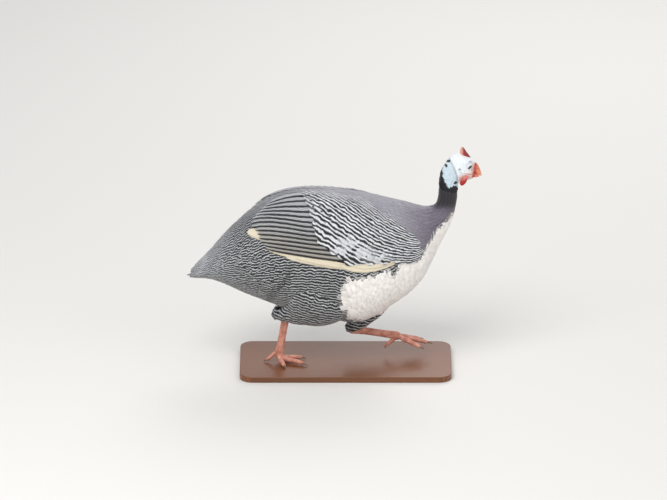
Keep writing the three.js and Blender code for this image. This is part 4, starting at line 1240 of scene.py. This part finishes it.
class GUINEA_OT_face(bpy.types.Operator):
    """Make the bill with its nostrils, the casque, the wattles and the eyes"""
    bl_idname = "guinea.face"
    bl_label = "Bill, casque, wattles and eyes"

    def execute(self, context):
        skin = context.scene.guinea_skin
        self.bills(skin)
        self.casque()
        self.wattles(skin)
        self.eyes()
        return {"FINISHED"}

    def bills(self, skin):
        """Horn, satin and warm, darker red at its base and pale at the tip."""
        material, tree, surface = new_material("bill_horn_satin", 0.4, Subsurface_Weight=0.1,
                                               Subsurface_Scale=0.001)
        place = position_mm(tree)
        split = node(tree, "SeparateXYZ", in_0=place)
        forward = maths(tree, "MULTIPLY_ADD", split.outputs[2], -0.16, split.outputs[0])
        horn = colour_ramp(tree, mapped(tree, forward, 154.5, 171.5), BILL_COLOURS)
        colour = mixed_colour(tree, 0.25, horn, rgba(skin.bill))
        finish_surface(tree, surface, colour, noise(tree, place, 1.2, 3.0), 0.25, 0.0003)

        upper = upright(UPPER_BILL)

        def nostril(s, a):
            """A slit in a swollen cere, on each side."""
            p = upper.at(s, a)
            slit = np.hypot((p[:, 0] - NOSTRIL[0]) * 0.8, (p[:, 2] - NOSTRIL[1]) * 1.5)
            cere = np.hypot((p[:, 0] - CERE[0]) / 4.2, (p[:, 2] - CERE[1]) / 3.6)
            side = smooth(0.3, 0.6, np.abs(np.sin(a)))
            return side * (0.9 * smooth(1.1, 0.3, cere) - 1.5 * smooth(1.5, 0.8, slit))

        top = shell(upper, 60, 56, nostril)
        low = shell(upright(LOWER_BILL), 40, 40)
        finish_piece(to_object("bill_horn_upper", top), material, "bill", "bill_upper")
        finish_piece(to_object("bill_horn_lower", low), material, "bill", "bill_lower")

    def casque(self):
        """Bone under dull horny skin, pinkish behind and dark red in front."""
        material, tree, surface = new_material("casque_horn_dull", 0.6)
        place = position_mm(tree)
        mottle = noise(tree, place, 0.5, 4.0)
        split = node(tree, "SeparateXYZ", in_0=place)
        front = maths(tree, "MULTIPLY_ADD", mottle, 2.5, split.outputs[0])
        colour = mixed_colour(tree, mapped(tree, front, 191.8, 195.0),
                              rgba(linear(0xD49A8A)), rgba(linear(0x8E3128)))
        finish_surface(tree, surface, colour, mottle, 0.6, 0.0006)

        def ridges(s, a):
            return 0.14 * np.sin(a * 7 + s) + 0.1 * np.sin(s * 2.4)

        rings = Form([(x, 0, z, length, 0, 0, 0, width, 0) for z, x, length, width in CASQUE_RINGS])
        finish_piece(to_object("casque_horn", shell(rings, 40, 44, ridges)), material, "casque", "casque")

    def wattles(self, skin):
        """Soft bare skin full of blood, folded and finely pebbled."""
        material, tree, surface = new_material("wattle_skin_red", 0.45, Subsurface_Weight=0.06,
                                               Subsurface_Scale=0.0015)
        surface.inputs["Subsurface Radius"].default_value = (1.0, 0.25, 0.2)
        place = position_mm(tree)
        height = node(tree, "SeparateXYZ", in_0=place).outputs[2]
        red = mixed_colour(tree, noise(tree, place, 0.5, 4.0), rgba(linear(0x8A0C0A)), rgba(skin.wattle))
        colour = mixed_colour(tree, mapped(tree, height, 327.0, 335.5), red, rgba(linear(0xDE8078)))
        pebbles = node(tree, "TexVoronoi", Vector=place, Scale=1.4).outputs[0]
        finish_surface(tree, surface, colour, pebbles, 0.5, 0.0004)

        def fold(s, a):
            return 0.4 * np.sin(np.cos(a) * 5 + s * 0.25) * np.abs(np.sin(a))

        for word, side in (("left", 1), ("right", -1)):
            rings = [(x, side * (11.9 + 0.1 * (326 - z)), z, length, 0, 0, 0, thick * side, 0)
                     for z, x, length, thick in WATTLE_RINGS]
            wattle = to_object(f"wattle_skin_{word}", shell(Form(rings), 40, 48, fold))
            finish_piece(wattle, material, "wattle", f"wattle_{word}")

    def eyes(self):
        """A wet cornea over a dark brown iris and black pupil."""
        material, tree, surface = new_material("eye_wet_brown", 0.06, Coat_Weight=1.0, Coat_Roughness=0.02)
        iris = colour_ramp(tree, attribute(tree, "ring", 2), EYE_COLOURS)
        tree.links.new(iris, surface.inputs["Base Color"])
        for word, side in (("left", 1), ("right", -1)):
            bm = bmesh.new()
            bmesh.ops.create_uvsphere(bm, u_segments=40, v_segments=24, radius=EYE_RADIUS)
            rings = [math.hypot(v.co.x, v.co.z) / EYE_RADIUS for v in bm.verts]
            bmesh.ops.translate(bm, vec=(EYE[0], side * EYE[1], EYE[2]), verts=bm.verts)
            obj = to_object(f"eyeball_{word}", bm)
            obj.data.attributes.new("ring", "FLOAT", "POINT").data.foreach_set("value", rings)
            finish_piece(obj, material, "eye", f"eye_{word}")


# Legs

# Claw stations: share of the length, lift and half depth in millimetres
CLAW_CURVE = [(0.0, 0.2, 1.9), (0.3, 0.8, 2.0), (0.6, 1.1, 1.6), (0.85, 0.7, 0.9), (1.0, 0.0, 0.15)]
TOE_GIRTHS = (4.6, 4.4, 3.9, 3.2)
SOLE_GAP = 0.35         # the standing foot's sole above the base


def scutes(spacing, depth):
    """Overlapping plates along a limb, proud on its front or upper face."""
    def height(s, a):
        step = (s / spacing + 0.5 * (np.sin(a) > 0)) % 1.0
        face = smooth(-0.35, 0.25, np.cos(a))
        pebble = 0.12 * np.sin(s * 2.6) * np.sin(a * 9)
        return depth * face * (step**0.6 - 0.6) + (1 - face) * pebble
    return height


class GUINEA_OT_legs(bpy.types.Operator):
    """Make the scaly shanks, feet and claws"""
    bl_idname = "guinea.legs"
    bl_label = "Legs and claws"

    def execute(self, context):
        leg = self.leg_material(context.scene.guinea_skin)
        # Claws of brown horn, streaked paler and half glossy.
        claw, tree, surface = new_material("claw_horn_brown", 0.38)
        streak = noise(tree, position_mm(tree), 0.8, 3.0)
        colour = mixed_colour(tree, streak, rgba(linear(0x54392B)), rgba(linear(0xA8866C)))
        tree.links.new(colour, surface.inputs["Base Color"])
        for word, (hock, foot, level) in SHANKS.items():
            hock, foot = np.array(hock, float), np.array(foot, float)
            path = [(*blend(hock, foot, t), depth, width) for t, depth, width in SHANK_GIRTHS]
            parts = [shell(limb(path, level), 150, 48, scutes(4.6, 0.8))]
            for name, joints in TOES[word].items():
                parts.append(shell(self.toe_form(joints, name), 70, 32, scutes(2.6, 0.6)))
                self.claw(f"claw_horn_{word}_{name}", joints, name, claw, f"claw_{word}_{name}")
            x, y, z, r = FOOT_PADS[word]
            pad = bmesh.new()
            bmesh.ops.create_uvsphere(pad, u_segments=32, v_segments=20, radius=r)
            bmesh.ops.translate(pad, vec=(x, y, z), verts=pad.verts)
            parts.append(pad)
            obj = remesh(to_object(f"leg_{word}", *parts), 0.42, 2)
            if word == "right":
                floor = (BIRD_OFFSET[2] + SOLE_GAP) * METRES
                for v in obj.data.vertices:
                    v.co.z = max(v.co.z, floor)
            finish_piece(obj, leg, "leg", f"shank_{word}", f"foot_{word}")
        return {"FINISHED"}

    def toe_form(self, joints, name):
        k = 0.8 if name == "hind" else 1.0
        path = []
        for i, (x, y, z) in enumerate(joints[:4]):
            size = TOE_GIRTHS[i] * k
            path.append((x, y, z, size, size * 0.98))
            if i < 3:
                x2, y2, z2 = joints[i + 1]
                path.append(((x + x2) / 2, (y + y2) / 2, (z + z2) / 2 + 0.3, size * 0.84, size * 0.86))
        b, a = np.array(joints[3], float), np.array(joints[2], float)
        end = b + (b - a) / np.linalg.norm(b - a) * 2.6 * k
        path.append((*end, 1.8 * k, 1.9 * k))
        return limb(path, (0, 0, 1))

    def claw(self, name, joints, toe, material, node_name):
        k = 0.85 if toe == "hind" else 1.0
        a, b = np.array(joints[3], float), np.array(joints[4], float)
        path = []
        for t, lift, r in CLAW_CURVE:
            x, y, z = blend(a, b, t)
            path.append((x, y, z + lift, r * k, r * 0.78 * k))
        obj = to_object(name, shell(limb(path, (0, 0, 1)), 30, 20))
        finish_piece(obj, material, "claw", node_name)

    def leg_material(self, skin):
        """Keratin scutes over orange-pink skin, blotched, and darker in the joints between the scutes."""
        material, tree, surface = new_material("leg_scutes", 0.5, Subsurface_Weight=0.06,
                                               Subsurface_Scale=0.001)
        place = position_mm(tree)
        blotch = mapped(tree, noise(tree, place, 0.12, 4.0), 0.38, 0.64)
        cells = node(tree, "TexVoronoi", {"feature": "DISTANCE_TO_EDGE"}, Vector=place,
                     Scale=0.75).outputs[0]
        gap = mapped(tree, cells, 0.0, 0.12, 0.72, 1.0)
        colour = mixed_colour(tree, blotch, rgba(linear(0xBC7663)), rgba(skin.leg))
        finish_surface(tree, surface, scaled(tree, colour, gap), cells, 0.35, 0.0004)
        return material


# Base and studio

class GUINEA_OT_base(bpy.types.Operator):
    """Make the flat wooden base"""
    bl_idname = "guinea.base"
    bl_label = "Base"

    def execute(self, context):
        stage = context.scene.guinea_stage
        low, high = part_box("stand_base")
        bm = bmesh.new()
        bmesh.ops.create_cube(bm, size=1.0)
        bmesh.ops.scale(bm, vec=high - low, verts=bm.verts)
        bmesh.ops.translate(bm, vec=(low + high) / 2, verts=bm.verts)
        posts = [e for e in bm.edges if abs(e.verts[0].co.z - e.verts[1].co.z) > 0.001]
        bmesh.ops.bevel(bm, geom=posts, offset=0.022, offset_type="OFFSET", segments=14, profile=0.5,
                        affect="EDGES", material=-1)
        rims = [e for e in bm.edges
                if abs(e.verts[0].co.z - e.verts[1].co.z) < 1e-6 and e.calc_face_angle(0) > 1]
        bmesh.ops.bevel(bm, geom=rims, offset=0.0015, offset_type="OFFSET", segments=4, profile=0.5,
                        affect="EDGES", material=-1)
        mesh = bpy.data.meshes.new("base_board")
        bm.to_mesh(mesh)
        bm.free()
        obj = new_object("base_board", mesh)
        finish_piece(obj, self.wood(stage), "base", "stand_base")
        return {"FINISHED"}

    def wood(self, stage):
        """Oiled brown wood: long grain lines about 3 mm apart, and a low even gloss."""
        material, tree, surface = new_material("base_wood_oiled", 0.42, Coat_Weight=0.15,
                                               Coat_Roughness=0.3)
        long_grain = node(tree, "Mapping", in_0=position_mm(tree), Scale=(0.035, 1.0, 1.0)).outputs[0]
        rings = node(tree, "TexWave", {"bands_direction": "Y"}, Vector=long_grain, Scale=0.1,
                     Distortion=7.0, Detail=3.0, Detail_Scale=0.6).outputs[1]
        fibre = noise(tree, long_grain, 1.3, 5.0)
        shade, mid, pale = (rgba([c * k for c in stage.wood]) for k in (0.6, 0.72, 1.25))
        colour = mixed_colour(tree, rings, mid, pale)
        colour = mixed_colour(tree, maths(tree, "MULTIPLY", fibre, 0.5), colour, shade)
        finish_surface(tree, surface, colour, fibre, 0.2, 0.0003)
        return material


# Soft lights: name, place, width in metres, watts
LIGHTS = [("key", (-0.9, -1.6, 2.2), 1.5, 46), ("fill", (2.0, -1.8, 1.1), 2.2, 15),
          ("back", (0.6, 2.0, 1.8), 1.6, 22)]
AIM = (-0.02, 0.0, 0.2023)      # the point at the middle of the photo


class GUINEA_OT_studio(bpy.types.Operator):
    """Set the floor, the soft lights and the camera"""
    bl_idname = "guinea.studio"
    bl_label = "Studio"

    def execute(self, context):
        stage = context.scene.guinea_stage
        bm = bmesh.new()
        bmesh.ops.create_grid(bm, x_segments=1, y_segments=1, size=12.0)
        mesh = bpy.data.meshes.new("studio_floor")
        bm.to_mesh(mesh)
        bm.free()
        floor = new_object("studio_floor", mesh)
        # Pale matte paper, without gloss.
        material, _, surface = new_material("studio_floor_matte", 0.9)
        surface.inputs["Base Color"].default_value = rgba(stage.floor)
        mesh.materials.append(material)
        world = bpy.data.worlds.new("studio_world")
        world.use_nodes = True
        world.node_tree.nodes["Background"].inputs[0].default_value = (0.97, 0.98, 1.0, 1.0)
        world.node_tree.nodes["Background"].inputs[1].default_value = 0.55
        context.scene.world = world
        aim = Vector(AIM)
        for name, place, size, power in LIGHTS:
            light = bpy.data.lights.new(name, "AREA")
            light.size = size
            light.energy = power
            lamp = bpy.data.objects.new(name, light)
            lamp.location = place
            lamp.rotation_euler = (aim - Vector(place)).to_track_quat("-Z", "Y").to_euler()
            context.scene.collection.objects.link(lamp)
        camera = bpy.data.cameras.new("camera")
        camera.lens = stage.lens
        camera.sensor_width = 36.0
        camera.clip_end = 80.0
        eye = bpy.data.objects.new("camera", camera)
        back = Vector((0.0, -math.cos(stage.elevation), math.sin(stage.elevation)))
        eye.location = aim + back * stage.distance
        eye.rotation_euler = (-back).to_track_quat("-Z", "Y").to_euler()
        context.scene.collection.objects.link(eye)
        context.scene.camera = eye
        context.scene.view_settings.view_transform = "Standard"
        return {"FINISHED"}


class GUINEA_PT_panel(bpy.types.Panel):
    """The figure's settings and steps"""
    bl_idname = "GUINEA_PT_panel"
    bl_label = "Guinea fowl"
    bl_space_type = "VIEW_3D"
    bl_region_type = "UI"
    bl_category = "Guinea fowl"

    def draw(self, context):
        for group in (context.scene.guinea_plumage, context.scene.guinea_skin, context.scene.guinea_stage):
            box = self.layout.box()
            for key in group.__annotations__:
                box.prop(group, key)
        for operator in OPERATORS:
            self.layout.operator(operator.bl_idname)


OPERATORS = (GUINEA_OT_skin, GUINEA_OT_coat, GUINEA_OT_tail, GUINEA_OT_wings, GUINEA_OT_face,
             GUINEA_OT_legs, GUINEA_OT_base, GUINEA_OT_studio)
GROUPS = {"guinea_plumage": PlumageSettings, "guinea_skin": SkinSettings, "guinea_stage": StageSettings}


def register():
    for name, group in GROUPS.items():
        bpy.utils.register_class(group)
        setattr(bpy.types.Scene, name, PointerProperty(type=group))
    for item in (*OPERATORS, GUINEA_PT_panel):
        bpy.utils.register_class(item)


def unregister():
    for item in (GUINEA_PT_panel, *reversed(OPERATORS)):
        bpy.utils.unregister_class(item)
    for name, group in GROUPS.items():
        delattr(bpy.types.Scene, name)
        bpy.utils.unregister_class(group)


def main():
    register()
    for operator in OPERATORS:
        name = operator.bl_idname.split(".")[1]
        getattr(bpy.ops.guinea, name)()


if __name__ == "__main__":
    main()
